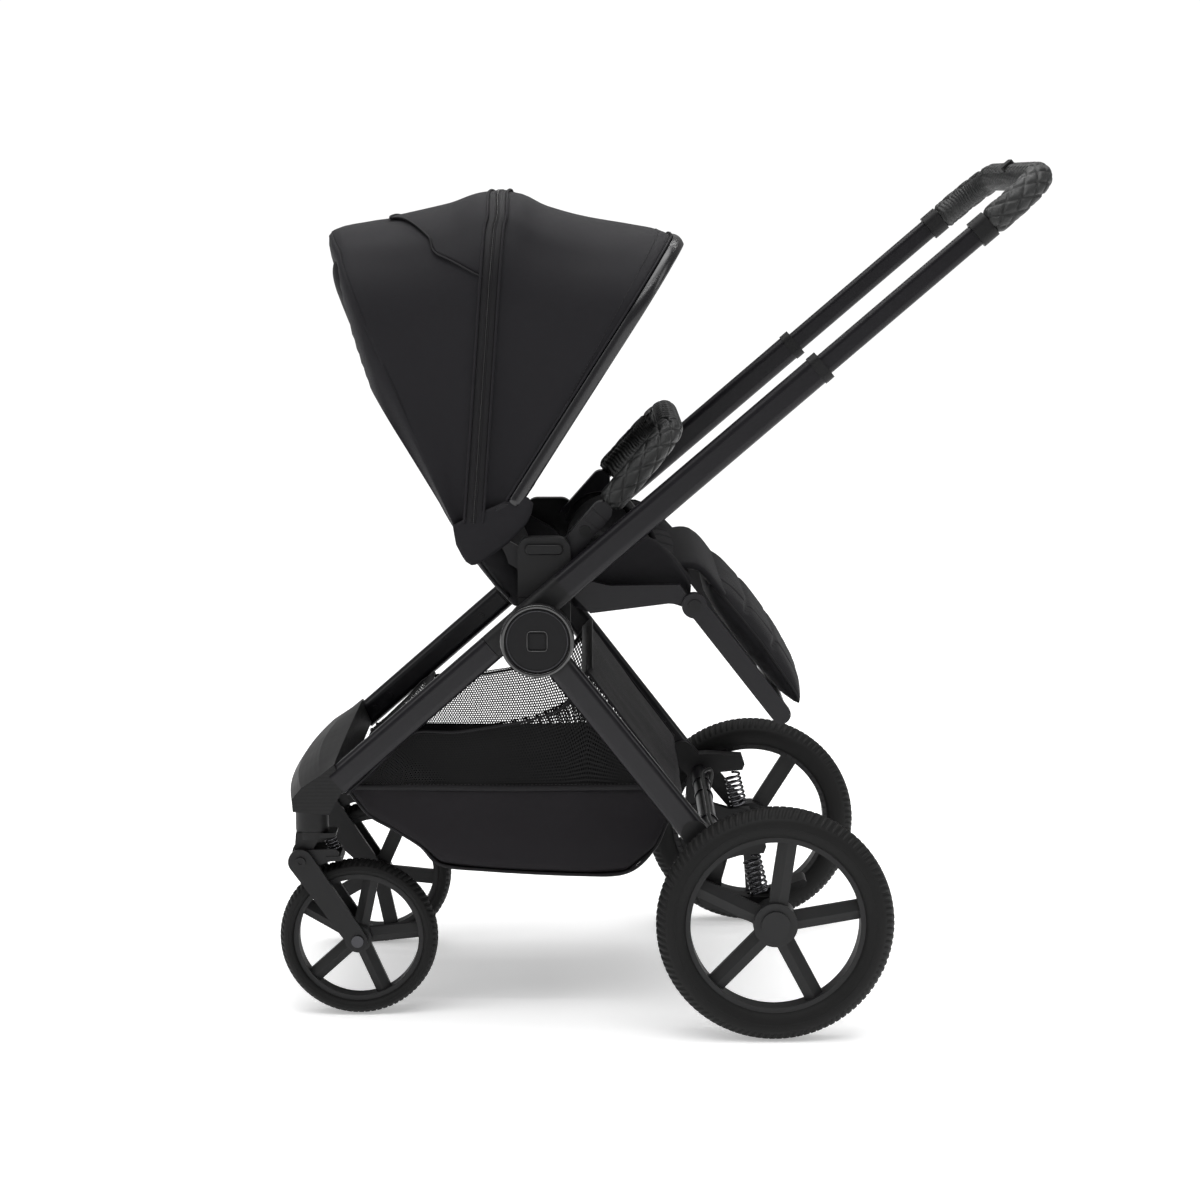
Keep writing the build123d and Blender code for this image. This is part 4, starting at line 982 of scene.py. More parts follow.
@dataclass
class Canopy:
    """Fabric hood on three bows that turn about one hinge; millimetres and degrees."""

    hinge: Side = (-186.0, 636.0)
    half_width: float = 206.0
    corner: float = 112.0
    start: float = 18.0
    front: float = 58.6
    middle: float = 91.5
    rear: float = 122.5
    reach: tuple[Side, ...] = (
        (56.0, 389.0), (60.0, 387.0), (66.0, 377.0), (74.5, 367.0), (82.6, 370.0), (88.2, 383.0),
        (95.0, 384.0), (101.5, 376.0), (110.8, 379.0), (117.0, 390.0), (122.5, 401.0),
        (124.0, 392.0), (126.0, 360.0), (128.0, 322.0), (130.5, 277.0),
    )
    drift: tuple[Side, ...] = ((58.6, 0.0), (91.5, -38.0), (122.5, -52.0))
    fall: tuple[Side, ...] = ((58.6, -4.0), (91.5, -29.0), (122.5, -31.0))
    fade: float = 366.0
    side_sag: float = 7.0
    band_width: float = 23.0

    def profile(self, angle: float, u: float) -> tuple[float, float, Vector]:
        """Place on the U-shaped profile of one direction.

        Args:
            angle: Direction from the hinge in degrees.
            u: 0 at the top centre, -1 and 1 at the hinge ends.

        Returns:
            Distance across, reach from the hinge, and the outward direction there, in the
            profile's own (across, reach) plane.
        """
        top = lookup(self.reach, angle)
        span = (self.front, self.middle) if angle < self.middle else (self.middle, self.rear)
        share = (angle - span[0]) / (span[1] - span[0])
        half = self.half_width - self.side_sag * max(
            0.0, math.sin(math.pi * share),
        ) - 14.0 * ease(self.rear + 0.8, 130.5, angle)
        side = 1 if u >= 0 else -1
        flat, arc = half - self.corner, self.corner * math.pi / 2
        run = abs(u) * (flat + arc + top - self.corner - self.start)
        crown = 5.0 * math.cos(math.pi / 2 * min(run / (flat + arc * 0.6), 1.0))
        if run < flat:
            return side * run, top - 4 + crown, Vector((0.0, 1.0, 0.0))
        if run < flat + arc:
            turn = (run - flat) / self.corner
            normal = Vector((side * math.sin(turn), math.cos(turn), 0.0))
            across = side * (flat + self.corner * math.sin(turn))
            return across, top - self.corner + self.corner * math.cos(turn) - 4 + crown, normal
        down = run - flat - arc
        hollow = 3.0 * math.sin(math.pi * min(down / (top - self.corner), 1.0))
        reach = top - self.corner - 4 - down + 4 * min(down / 60, 1)
        return side * (half - hollow), reach, Vector((side, 0.0, 0.0))

    def point(self, angle: float, u: float, proud: float = 0.0) -> Vector:
        """Point of the hood in metres, lifted off its surface by proud millimetres."""
        across, reach, normal = self.profile(angle, u)
        across += normal.x * proud
        reach += normal.y * proud
        side = polar(self.hinge, angle, reach)
        low = max(0.0, 1 - (reach - self.start) / self.fade) * ease(
            0.0, 12.0, abs(across) - self.half_width + 40,
        )
        return mm(side[0] + lookup(self.drift, angle) * low, across, side[1] + lookup(self.fall, angle) * low)

    def panel(
        self, name: str, first: float, last: float, low: float = -1.0, high: float = 1.0,
        proud: float = 0.0, columns: int = 26, rows: int = 110,
    ) -> bpy.types.Object:
        """Curved cloth between two directions."""
        grid = []
        for r in range(rows + 1):
            u = low + (high - low) * r / rows
            grid.append(
                [self.point(first + (last - first) * c / columns, u, proud) for c in range(columns + 1)]
            )
        return lay_grid(name, grid)

    def edge(
        self, angle: float, proud: float, low: float = -1.0, high: float = 1.0, count: int = 160,
        shift: float = 0.0,
    ) -> list[Vector]:
        """Line along one direction from side to side, moved sideways by shift millimetres."""
        turn = math.radians(angle + 90)
        move = mm(shift * math.cos(turn), 0, shift * math.sin(turn))
        return [self.point(angle, low + (high - low) * i / count, proud) + move for i in range(count + 1)]

    def band_rows(
        self, angle: float, width: float, proud: float, bulge: float, low: float = -1.0,
        high: float = 1.0,
    ) -> list[list[Vector]]:
        """Rows of a band of even width that crosses the hood along one direction."""
        turn = math.radians(angle + 90)
        across = mm(math.cos(turn), 0, math.sin(turn))
        rows = []
        for i in range(171):
            u = low + (high - low) * i / 170
            row = []
            for c in range(9):
                share = c / 4 - 1
                lift = proud + bulge * (1 - share * share)
                row.append(self.point(angle, u, lift) + across * share * width / 2)
            rows.append(row)
        return rows

    def flap_limit(self, angle: float) -> float:
        """How far down the side the vent flap reaches at a direction."""
        share = (angle - self.middle) / 20.5
        return 0.47 - 0.10 * ease(0.0, 0.75, share) - 0.165 * ease(0.55, 1.0, share)

    def flap(self) -> bpy.types.Object:
        """Vent flap that lies over the rear panel, with a rounded corner at each side."""
        grid = []
        for r in range(71):
            row = []
            for c in range(25):
                angle = self.middle + 1.5 + 19.0 * c / 24
                limit = self.flap_limit(angle)
                row.append(self.point(angle, limit * (2 * r / 70 - 1), 1.6 + 1.2 * (c / 24)))
            grid.append(row)
        return lay_grid("canopy_vent_flap", grid)

    def flap_border(self) -> list[Vector]:
        """The flap's free edge, from one side of the middle bow round to the other."""
        first, last = self.middle + 1.5, self.middle + 20.5
        angles = [first + (last - first) * i / 40 for i in range(41)]
        near = [self.point(a, -self.flap_limit(a), 2.2 + 1.2 * i / 40) for i, a in enumerate(angles)]
        far = [self.point(a, self.flap_limit(a), 2.2 + 1.2 * i / 40) for i, a in enumerate(angles)]
        limit = self.flap_limit(last)
        back = [self.point(last, limit * (i / 20 - 1), 3.4) for i in range(1, 40)]
        return chain([*near, *back, *reversed(far)], 0.003)

    def wing(self, side: int) -> bpy.types.Object:
        """Cloth ear that covers the hood's hinge."""
        upper = ((-250, 622), (-226, 634), (-202, 644), (-182, 653), (-167, 657), (-158, 656))
        lower = ((-246, 598), (-228, 573), (-196, 590), (-170, 612), (-156, 632), (-152, 649))
        rows = []
        for i in range(13):
            share = i / 12
            puff = 2.5 * math.sin(math.pi * share)
            rows.append(
                [
                    mm(
                        a[0] + (b[0] - a[0]) * share, side * (self.half_width + 0.5 + puff),
                        a[1] + (b[1] - a[1]) * share,
                    )
                    for a, b in zip(upper, lower)
                ]
            )
        rounded = [smooth_line(row, 0.004) for row in rows]
        fine = [[row[round(k * (len(row) - 1) / 24)] for k in range(25)] for row in rounded]
        return thicken(lay_grid(f"canopy_ear_{SIDE_NAMES[side]}", fine), 0.0016)

    def pieces(self) -> list[Piece]:
        """All the hood's pieces."""
        spot = {a: self.point(a, 0) for a in (self.front, self.middle, self.rear)}
        front_bend = ("canopy_front", spot[self.middle], spot[self.front])
        rear_bend = ("canopy_middle", spot[self.rear], spot[self.middle])
        front = self.panel("canopy_front_cloth", self.front - 0.4, self.middle)
        rear = self.panel("canopy_rear_cloth", self.middle, self.rear + 0.8)
        for obj, seed in ((front, 1.0), (rear, 4.0)):
            ruffle(obj, 0.0011, 17.0, seed)
            thicken(obj, 0.0016)
        skirt = thicken(self.panel("canopy_rear_skirt", self.rear, 130.5, columns=10), 0.0016)
        pieces = [
            Piece(front, "canopy_middle", "canopy_fabric", CANOPY, ("canopy_front_panel",), front_bend),
            Piece(rear, "backrest", "canopy_fabric", CANOPY, ("canopy_rear_panel",), rear_bend),
            Piece(skirt, "backrest", "canopy_fabric", CANOPY),
            *(Piece(self.wing(side), "backrest", "canopy_fabric", CANOPY) for side in (LEFT, RIGHT)),
        ]
        flap = thicken(self.flap(), 0.0012)
        pieces.append(Piece(flap, "backrest", "canopy_fabric", CANOPY, bends=rear_bend))
        border = sweep("canopy_flap_binding", self.flap_border(), cord_outline(0.0013), Vector((0, 1, 0.1)))
        pieces.append(Piece(border, "backrest", "canopy_fabric", TAPE, bends=rear_bend))
        cover = lay_grid("canopy_zip_tape", self.band_rows(self.middle, self.band_width, 0.9, 1.4))
        pieces.append(Piece(thicken(cover, 0.0015), "canopy_middle", "canopy_fabric", TAPE))
        for index, shift in enumerate((-self.band_width / 2, -2.0, 2.0, self.band_width / 2)):
            radius = 0.0016 if abs(shift) > 5 else 0.0009
            piping = sweep(
                f"canopy_piping_{index}", chain(self.edge(self.middle, 2.2, shift=shift), 0.004),
                cord_outline(radius), Vector((1, 0, 0.2)),
            )
            pieces.append(Piece(piping, "canopy_middle", "canopy_fabric", CANOPY if abs(shift) > 5 else TAPE))
        tooth = lay_grid(
            "canopy_zip_teeth",
            [
                [Vector((x, s * 0.0011, z)) for s, z in ((-1, 0.0), (1, 0.0), (1, 0.0008), (-1, 0.0008))]
                for x in (-0.0006, 0.0006)
            ],
            wrap=True, caps=True,
        )
        teeth = Repeats.along(tooth, self.edge(self.middle, 2.2), 0.0024, TAPE)
        pieces.append(Piece(teeth, "canopy_middle", "canopy_fabric", GLOSS))
        trim = lay_grid("canopy_front_band", self.band_rows(self.front - 1.5, 17.0, 1.0, 3.4, -1.0, 1.0))
        pieces.append(Piece(thicken(trim, 0.007), "canopy_front", "gloss_black", BAND, ("canopy_front_bow",)))
        hem = sweep(
            "canopy_front_piping", chain(self.edge(self.front - 1.5, 1.6, shift=10.0), 0.004),
            cord_outline(0.0014), Vector((1, 0, 0.2)),
        )
        pieces.append(Piece(hem, "canopy_front", "canopy_fabric", CANOPY))
        seams = {
            "canopy_front_stitches": (self.front + 2.4, 0.6, "canopy_front"),
            "canopy_band_front_stitches": (self.middle - 2.3, 0.5, "canopy_middle"),
            "canopy_band_rear_stitches": (self.middle + 2.3, 0.5, "canopy_middle"),
        }
        for name, (angle, lift, body) in seams.items():
            stitches = Repeats.along(stitch_shape(name), self.edge(angle, lift, -0.93, 0.93), 0.0046, THREAD)
            pieces.append(Piece(stitches, body, "canopy_fabric", THREAD))
        return pieces


# ---- seat, backrest and leg rest --------------------------------------------------------------------


STRAP_REACH = 250
STRAP_WIDTH = 42


@dataclass
class BackShell:
    """Padded back with the cloth shell behind it; millimetres."""

    pivot: Side = (-139.0, 560.0)
    angle: float = 115.0
    half_width: float = 186.0
    rear: tuple[Side, ...] = (
        (-26.0, 54.0), (10.0, 66.0), (60.0, 75.0), (120.0, 80.0), (190.0, 83.0), (280.0, 85.0),
        (360.0, 86.0), (410.0, 86.0), (438.0, 82.0), (452.0, 74.0),
    )
    front: tuple[Side, ...] = (
        (-26.0, 34.0), (10.0, 26.0), (60.0, 30.0), (120.0, 33.0), (190.0, 31.0), (280.0, 30.0),
        (360.0, 34.0), (410.0, 40.0), (438.0, 50.0), (452.0, 60.0),
    )
    layers: int = 44

    def place(self, along: float, behind: float, y: float) -> Vector:
        """Point in the backrest's own directions."""
        side = polar(polar(self.pivot, self.angle, along), self.angle + 90, behind)
        return mm(side[0], y, side[1])

    def ring(self, along: float) -> list[Vector]:
        """Closed section across the back at a distance from the pivot."""
        near, far = lookup(self.front, along), lookup(self.rear, along)
        half = self.half_width * (0.93 + 0.07 * ease(-26, 60, along)) - 26 * ease(400, 452, along) ** 2
        middle, depth = (near + far) / 2, (far - near) / 2
        points = []
        for i in range(56):
            turn = 2 * math.pi * i / 56
            c, s = math.cos(turn), math.sin(turn)
            y = half * math.copysign(abs(c) ** 0.32, c)
            x = middle + depth * math.copysign(abs(s) ** 0.55, s)
            if s < 0:
                x += 9.0 * math.cos(math.pi / 2 * min(abs(y) / (half * 0.72), 1.0)) - 4.0
            points.append(self.place(along, x, y))
        return points

    def pieces(self) -> list[Piece]:
        """The padded back and its piping."""
        low, high = self.rear[0][0], self.rear[-1][0]
        rows = [self.ring(low + (high - low) * i / self.layers) for i in range(self.layers + 1)]
        shell = lay_grid("backrest_padding", rows, wrap=True, caps=True)
        plump(shell, 0.0055, 0.004, pressure=2.0, frames=10)
        channels = [
            [self.place(a, lookup(self.front, a) + 1, y) for y in range(-130, 131, 10)]
            for a in (110, 190, 270, 350)
        ]
        channels += [
            [self.place(a, lookup(self.front, a), y) for a in range(40, 411, 12)]
            for y in (-132, 132)
        ]
        score(shell, channels, 0.005, 0.0045)
        ruffle(shell, 0.0012, 22.0, 2.0)
        pieces = [Piece(shell, "backrest", "seat_fabric", LINER, ("backrest_pad",), fill=0.5)]
        for side in (LEFT, RIGHT):
            line = [
                self.place(
                    a, lookup(self.rear, a) - 7,
                    side * (self.half_width * (0.93 + 0.07 * ease(-26, 60, a)) - 1),
                )
                for a in range(-10, 395, 12)
            ]
            piping = sweep(
                f"backrest_piping_{SIDE_NAMES[side]}", smooth_line(line, 0.005),
                cord_outline(0.002), Vector((0, 1, 0)),
            )
            pieces.append(Piece(piping, "backrest", "seat_fabric", TAPE))
            strap_line = [
                self.place(
                    STRAP_REACH + 60 - t * 3.4,
                    lookup(self.front, STRAP_REACH) - 4 - 16 * math.sin(math.pi * t / 60) ** 0.7,
                    side * (58 + 0.25 * t),
                )
                for t in range(0, 61, 4)
            ]
            strap = sweep(
                f"shoulder_strap_{SIDE_NAMES[side]}", smooth_line(strap_line, 0.005),
                tape_outline(STRAP_WIDTH / 1000, 0.009), Vector((-1, 0, 0.4)),
            )
            pieces.append(Piece(strap, "backrest", "seat_fabric", LINER))
        return pieces


@dataclass
class SeatLiner:
    """Padded seat with raised sides, sewn to a skirt over the rails; millimetres."""

    floor: float = 548.0
    half_width: float = 188.0
    wing: tuple[Side, ...] = (
        (-112.0, 578.0), (-80.0, 592.0), (-48.0, 605.0), (-18.0, 606.0), (6.0, 592.0),
        (28.0, 570.0), (42.0, 553.0),
    )
    top: tuple[Side, ...] = ((-112.0, 567.0), (-60.0, 571.0), (0.0, 573.0), (24.0, 568.0), (42.0, 553.0))
    layers: int = 26

    def ring(self, x: float) -> list[Vector]:
        """Section across the seat."""
        wing, top = lookup(self.wing, x), lookup(self.top, x)
        base = self.floor - 6 * ease(10, 42, x) - 1
        half = self.half_width
        points = []
        for i in range(61):
            y = -half + 2 * half * i / 60
            share = abs(y) / half
            crest = ease(0.66, 0.93, share) * (wing - top) - ease(0.93, 1.0, share) * 0.35 * (wing - top)
            crown = 4.0 * math.cos(math.pi / 2 * min(share / 0.7, 1.0))
            points.append(mm(x, y, top + crest + crown - 6 * ease(0.97, 1.0, share)))
        for i in range(31):
            points.append(mm(x, half - 2 * half * i / 30, base))
        return points

    def skirt(self, side: int) -> bpy.types.Object:
        """Cloth panel beside the rail, from the bracket to the leg rest's pivot."""
        upper = [(-104, 590), (-70, 598), (-40, 607), (-17, 607), (8, 590), (28, 566), (40, 546)]
        lower = [(-104, 522), (-83, 514), (-50, 518), (-10, 523), (12, 525), (28, 521), (38, 517)]
        rows = []
        for share in [i / 14 for i in range(15)]:
            row = [
                mm(
                    a[0] + (b[0] - a[0]) * share,
                    side * (198.0 - 5 * (1 - share) ** 2 + 1.5 * math.sin(share * 9 + a[0] * 0.03)),
                    a[1] + (b[1] - a[1]) * share,
                )
                for a, b in zip(upper, lower)
            ]
            rows.append(smooth_line(row, 0.006))
        count = min(len(row) for row in rows)
        rows = [[row[round(i * (len(row) - 1) / (count - 1))] for i in range(count)] for row in rows]
        obj = lay_grid(f"seat_side_cloth_{SIDE_NAMES[side]}", rows)
        ruffle(obj, 0.0012, 30.0, 7.0 + side)
        return thicken(obj, 0.0018)

    def knee(self) -> bpy.types.Object:
        """Padded cloth that crosses from the seat to the leg rest."""
        upper = smooth_line(
            [mm(x, 0, z) for x, z in ((14, 572), (34, 577), (50, 575), (64, 564), (76, 549), (86, 535))],
            0.006,
        )
        lower = smooth_line(
            [mm(x, 0, z) for x, z in ((14, 556), (34, 560), (46, 559), (55, 552), (64, 541), (76, 527))],
            0.006,
        )
        rows = []
        for i in range(15):
            row = []
            a = upper[round(i * (len(upper) - 1) / 14)]
            b = lower[round(i * (len(lower) - 1) / 14)]
            for k in range(48):
                turn = 2 * math.pi * k / 48
                c, t = math.cos(turn), math.sin(turn)
                spot = a.lerp(b, 0.5 - 0.5 * math.copysign(abs(t) ** 0.6, t))
                row.append(spot + mm(0, 178 * math.copysign(abs(c) ** 0.3, c), 0))
            rows.append(row)
        return lay_grid("seat_knee_cloth", rows, wrap=True, caps=True)

    def pieces(self) -> list[Piece]:
        """The seat cushion, the side cloths and the harness."""
        xs = [
            self.wing[0][0] + (self.wing[-1][0] - self.wing[0][0]) * i / self.layers
            for i in range(self.layers + 1)
        ]
        pad = lay_grid("seat_cushion", [self.ring(x) for x in xs], wrap=True, caps=True)
        plump(pad, 0.005, 0.004, pressure=2.5, frames=10)
        lines = [
            [mm(x, y, lookup(self.top, x) + 3) for x in range(-100, 31, 10)]
            for y in (-118, -40, 40, 118)
        ]
        lines += [[mm(x, y, lookup(self.top, x) + 3) for y in range(-118, 119, 10)] for x in (-62, -8)]
        score(pad, lines, 0.005, 0.0045)
        ruffle(pad, 0.001, 26.0, 5.0)
        pieces = [Piece(pad, "seat", "seat_fabric", LINER, ("seat_pad",), fill=0.6)]
        pieces += [Piece(self.skirt(side), "seat", "seat_fabric", LINER) for side in (LEFT, RIGHT)]
        pieces.append(
            Piece(
                self.knee(), "seat", "seat_fabric", LINER,
                bends=("legrest", mm(26, 0, 574), mm(66, 0, 562)),
            )
        )
        crotch = smooth_line([mm(0, 0, 574), mm(-8, 0, 592), mm(-22, 0, 610), mm(-34, 0, 622)], 0.004)
        pieces.append(
            Piece(
                sweep("crotch_strap", crotch, tape_outline(0.034, 0.007), Vector((1, 0, 0.6))),
                "seat", "seat_fabric", LINER,
            )
        )
        buckle = sweep(
            "harness_buckle", chain([mm(-30, 0, 616), mm(-50, 0, 640)], 0.004), lambda t,
            total: [
                (0.019 * (1 - 0.25 * abs(2 * t / total - 1) ** 3) * a, 0.0065 * b)
                for a, b in (
                    (-1, -0.5), (-0.8, -1), (0.8, -1), (1, -0.5), (1, 0.5), (0.8, 1), (-0.8, 1),
                    (-1, 0.5),
                )
            ],
            Vector((1, 0, 0.6)),
        )
        pieces.append(Piece(buckle, "seat", "moulded_black", MOULDED))
        for side in (LEFT, RIGHT):
            waist = smooth_line(
                [
                    mm(-104, side * 96, 585), mm(-96, side * 74, 606), mm(-76, side * 44, 626),
                    mm(-52, side * 16, 634),
                ],
                0.005,
            )
            strap = sweep(
                f"waist_strap_{SIDE_NAMES[side]}", waist, tape_outline(0.028, 0.0035),
                Vector((0.6, 0, 1)),
            )
            pieces.append(Piece(strap, "seat", "seat_fabric", TAPE))
        return pieces


@dataclass
class LegRest:
    """Padded leg rest on its two arms; millimetres along and above the arm line."""

    pivot: Side = (43.5, 525.0)
    angle: float = -52.0
    half_width: float = 176.0
    top: tuple[Side, ...] = (
        (-4.0, 34.0), (16.0, 43.0), (50.0, 46.0), (90.0, 47.0), (140.0, 43.0), (166.0, 39.0),
        (184.0, 29.0),
    )
    low: tuple[Side, ...] = (
        (-4.0, 22.0), (16.0, 14.0), (50.0, 13.0), (90.0, 13.0), (140.0, 13.0), (166.0, 14.0),
        (184.0, 19.0),
    )
    layers: int = 30

    def place(self, along: float, above: float, y: float) -> Vector:
        """Point in the leg rest's own directions."""
        side = polar(polar(self.pivot, self.angle, along), self.angle + 90, above)
        return mm(side[0], y, side[1])

    def ring(self, along: float) -> list[Vector]:
        """Section across the pad."""
        high, low = lookup(self.top, along), lookup(self.low, along)
        half = self.half_width - 5 * ease(150, 184, along)
        middle, depth = (high + low) / 2, (high - low) / 2
        points = []
        for i in range(48):
            turn = 2 * math.pi * i / 48
            c, s = math.cos(turn), math.sin(turn)
            points.append(
                self.place(
                    along, middle + depth * math.copysign(abs(s) ** 0.6, s),
                    half * math.copysign(abs(c) ** 0.3, c),
                )
            )
        return points

    def pieces(self) -> list[Piece]:
        """The pad with its sewn channels and piping."""
        low, high = self.top[0][0], self.top[-1][0]
        pad = lay_grid(
            "legrest_cushion",
            [self.ring(low + (high - low) * i / self.layers) for i in range(self.layers + 1)],
            wrap=True, caps=True,
        )
        plump(pad, 0.005, 0.004, pressure=2.5, frames=10)
        lines = [[self.place(a, lookup(self.top, a), y) for y in range(-176, 177, 8)] for a in (52, 108)]
        lines += [[self.place(a, lookup(self.top, a), y) for a in range(0, 175, 8)] for y in (-128, 128)]
        score(pad, lines, 0.005, 0.0045)
        ruffle(pad, 0.0009, 30.0, 9.0)
        pieces = [Piece(pad, "legrest", "seat_fabric", LINER, ("legrest_pad",), fill=0.6)]
        for side in (LEFT, RIGHT):
            line = [
                self.place(
                    a, (lookup(self.top, a) * 0.6 + lookup(self.low, a) * 0.4),
                    side * (self.half_width - 1.5 - 5 * ease(150, 184, a)),
                )
                for a in range(0, 181, 9)
            ]
            piping = sweep(
                f"legrest_piping_{SIDE_NAMES[side]}", smooth_line(line, 0.004),
                cord_outline(0.0018), Vector((0, 1, 0)),
            )
            pieces.append(Piece(piping, "legrest", "seat_fabric", TAPE))
        return pieces


# ---- basket -----------------------------------------------------------------------------------------


@dataclass
class Basket:
    """Storage basket of cloth below and net above; millimetres."""

    half_width: float = 197.5
    border: float = 296.0
    hem: tuple[Side, ...] = (
        (-384.0, 291.0), (-362.0, 310.0), (-331.0, 340.0), (-301.0, 368.0), (-247.0, 369.0),
        (-182.0, 379.0), (-150.0, 386.0), (-114.0, 402.0), (-87.0, 441.0),
    )
    belly: tuple[Side, ...] = (
        (-384.0, 291.0), (-358.0, 258.0), (-330.0, 241.0), (-294.0, 218.0), (-269.0, 194.0),
        (-213.0, 187.0), (-100.0, 181.0), (-38.0, 184.0), (-4.0, 214.0), (12.0, 248.0),
        (31.0, 282.0),
    )
    rear: tuple[Side, ...] = ((31.0, 282.0), (2.0, 321.0), (-28.0, 361.0), (-58.0, 401.0), (-87.0, 441.0))
    round: float = 14.0

    def ground(self, x: float) -> float:
        """Height of the belly at x."""
        points = self.belly
        for a, b in zip(points, points[1:]):
            if a[0] <= x <= b[0]:
                return a[1] + (b[1] - a[1]) * (x - a[0]) / (b[0] - a[0])
        return points[-1][1]

    def ceiling(self, x: float) -> float:
        """Height of the side's upper edge at x."""
        points = [*self.hem, *reversed(self.rear)]
        for a, b in zip(points, points[1:]):
            if min(a[0], b[0]) <= x <= max(a[0], b[0]) and a[0] != b[0]:
                return a[1] + (b[1] - a[1]) * (x - a[0]) / (b[0] - a[0])
        return points[-1][1]

    def side_cloth(
        self, side: int, name: str, low: Callable[[float], float], high: Callable[[float], float],
        span: Side,
    ) -> bpy.types.Object:
        """Side sheet between two heights over a range of x."""
        rows = []
        for r in range(13):
            share = r / 12
            row = []
            for c in range(101):
                x = span[0] + (span[1] - span[0]) * c / 100
                z = low(x) + (high(x) - low(x)) * share
                above = z - self.ground(x)
                tuck = self.round * (1 - math.sqrt(max(0.0, 1 - (1 - min(above / self.round, 1.0)) ** 2)))
                slack = 1.6 * math.sin(x * 0.055 + 1.3) * ease(0, 60, above) + 1.2 * math.sin(z * 0.09)
                row.append(mm(x, side * (self.half_width - tuck - 1.5 + 0.5 * slack), z))
            rows.append(row)
        return lay_grid(f"{name}_{SIDE_NAMES[side]}", rows)

    def strip(
        self, name: str, line: Sequence[Side], inset: float, sag: float, turned: bool = False,
    ) -> bpy.types.Object:
        """Sheet that crosses the basket along a side line."""
        path = chain([mm(x, 0, z) for x, z in line], 0.009)
        rows = []
        for index, point in enumerate(path):
            ends = math.sin(math.pi * index / (len(path) - 1))
            before, after = path[max(index - 1, 0)], path[min(index + 1, len(path) - 1)]
            along = (after - before).normalized()
            out = Vector((-along.z, 0, along.x)) * (1 if turned else -1)
            row = []
            for c in range(33):
                share = c / 16 - 1
                give = sag * ends * (1 - share * share) * (0.9 + 0.1 * math.cos(share * 11))
                row.append(
                    point + Vector((0, share * (self.half_width - inset) / 1000, 0)) - out * give / 1000
                )
            rows.append(row)
        return lay_grid(name, rows)

    def pieces(self) -> list[Piece]:
        """All the basket's cloth, net, bindings and stitches."""
        pieces = []
        line = self.border
        for side in (LEFT, RIGHT):
            cloth = self.side_cloth(
                side, "basket_side_cloth", self.ground,
                lambda x: max(self.ground(x), min(line, self.ceiling(x))), (-383.0, 30.0),
            )
            ruffle(cloth, 0.0012, 24.0, 3.0)
            net = self.side_cloth(
                side, "basket_side_net", lambda x: min(line, self.ceiling(x)), self.ceiling,
                (-376.0, 19.0),
            )
            pieces.append(Piece(thicken(cloth, 0.0015), "chassis", "basket_fabric", PANEL))
            pieces.append(Piece(net, "chassis", "basket_fabric", NET))
            y = side * (self.half_width + 0.9)
            seam = chain([mm(-378, y, line), mm(-180, y, line - 2), mm(20, y, line)], 0.006)
            pieces.append(
                Piece(
                    sweep(
                        f"basket_seam_{SIDE_NAMES[side]}", seam, tape_outline(0.007, 0.0016),
                        Vector((0, 1, 0)),
                    ),
                    "chassis", "basket_fabric", TAPE,
                )
            )
            rim = smooth_line([mm(x, y, z - 4) for x, z in self.hem], 0.006)
            pieces.append(
                Piece(
                    sweep(
                        f"basket_hem_{SIDE_NAMES[side]}", rim, tape_outline(0.013, 0.003),
                        Vector((0, 0.2, 1)),
                    ),
                    "chassis", "basket_fabric", TAPE,
                )
            )
            under = smooth_line([mm(x, side * (self.half_width - 7), z + 2) for x, z in self.belly], 0.006)
            pieces.append(
                Piece(
                    sweep(
                        f"basket_piping_{SIDE_NAMES[side]}", under, cord_outline(0.0022),
                        Vector((0, 1, 0)),
                    ),
                    "chassis", "basket_fabric", TAPE,
                )
            )
            back = chain([mm(x, side * (self.half_width - 3), z) for x, z in self.rear], 0.006)
            pieces.append(
                Piece(
                    sweep(
                        f"basket_rear_piping_{SIDE_NAMES[side]}", back, cord_outline(0.0014),
                        Vector((0, 1, 0)),
                    ),
                    "chassis", "basket_fabric", TAPE,
                )
            )
            stitches = Repeats.along(
                stitch_shape(f"basket_stitches_{SIDE_NAMES[side]}"),
                [p + Vector((0, side * 0.0006, 0.0045)) for p in seam], 0.0048, THREAD,
            )
            pieces.append(Piece(stitches, "chassis", "basket_fabric", THREAD))
        floor = self.strip("basket_floor_cloth", self.belly, self.round * 0.45, -3.0)
        ruffle(floor, 0.0014, 20.0, 6.0)
        pieces.append(Piece(thicken(floor, 0.0015), "chassis", "basket_fabric", PANEL, ("basket",)))
        back = self.strip("basket_rear_cloth", self.rear, 1.5, 3.0)
        ruffle(back, 0.0014, 20.0, 8.0)
        pieces.append(Piece(thicken(back, 0.0015), "chassis", "basket_fabric", PANEL))
        front = self.strip("basket_front_net", self.hem[:4], 1.5, -2.0, True)
        pieces.append(Piece(front, "chassis", "basket_fabric", NET))
        bars = {"basket_front_binding": (self.hem[3], 0.015), "basket_rear_binding": (self.hem[-1], 0.018)}
        for name, (spot, width) in bars.items():
            edge = chain(
                [mm(spot[0], y, spot[1] - 3) for y in (-self.half_width + 1, 0, self.half_width - 1)],
                0.01,
            )
            pieces.append(
                Piece(
                    sweep(name, edge, tape_outline(width, 0.004), Vector((0.7, 0, -0.7))),
                    "chassis", "basket_fabric", TAPE,
                )
            )
        return pieces


# ---- grips ------------------------------------------------------------------------------------------


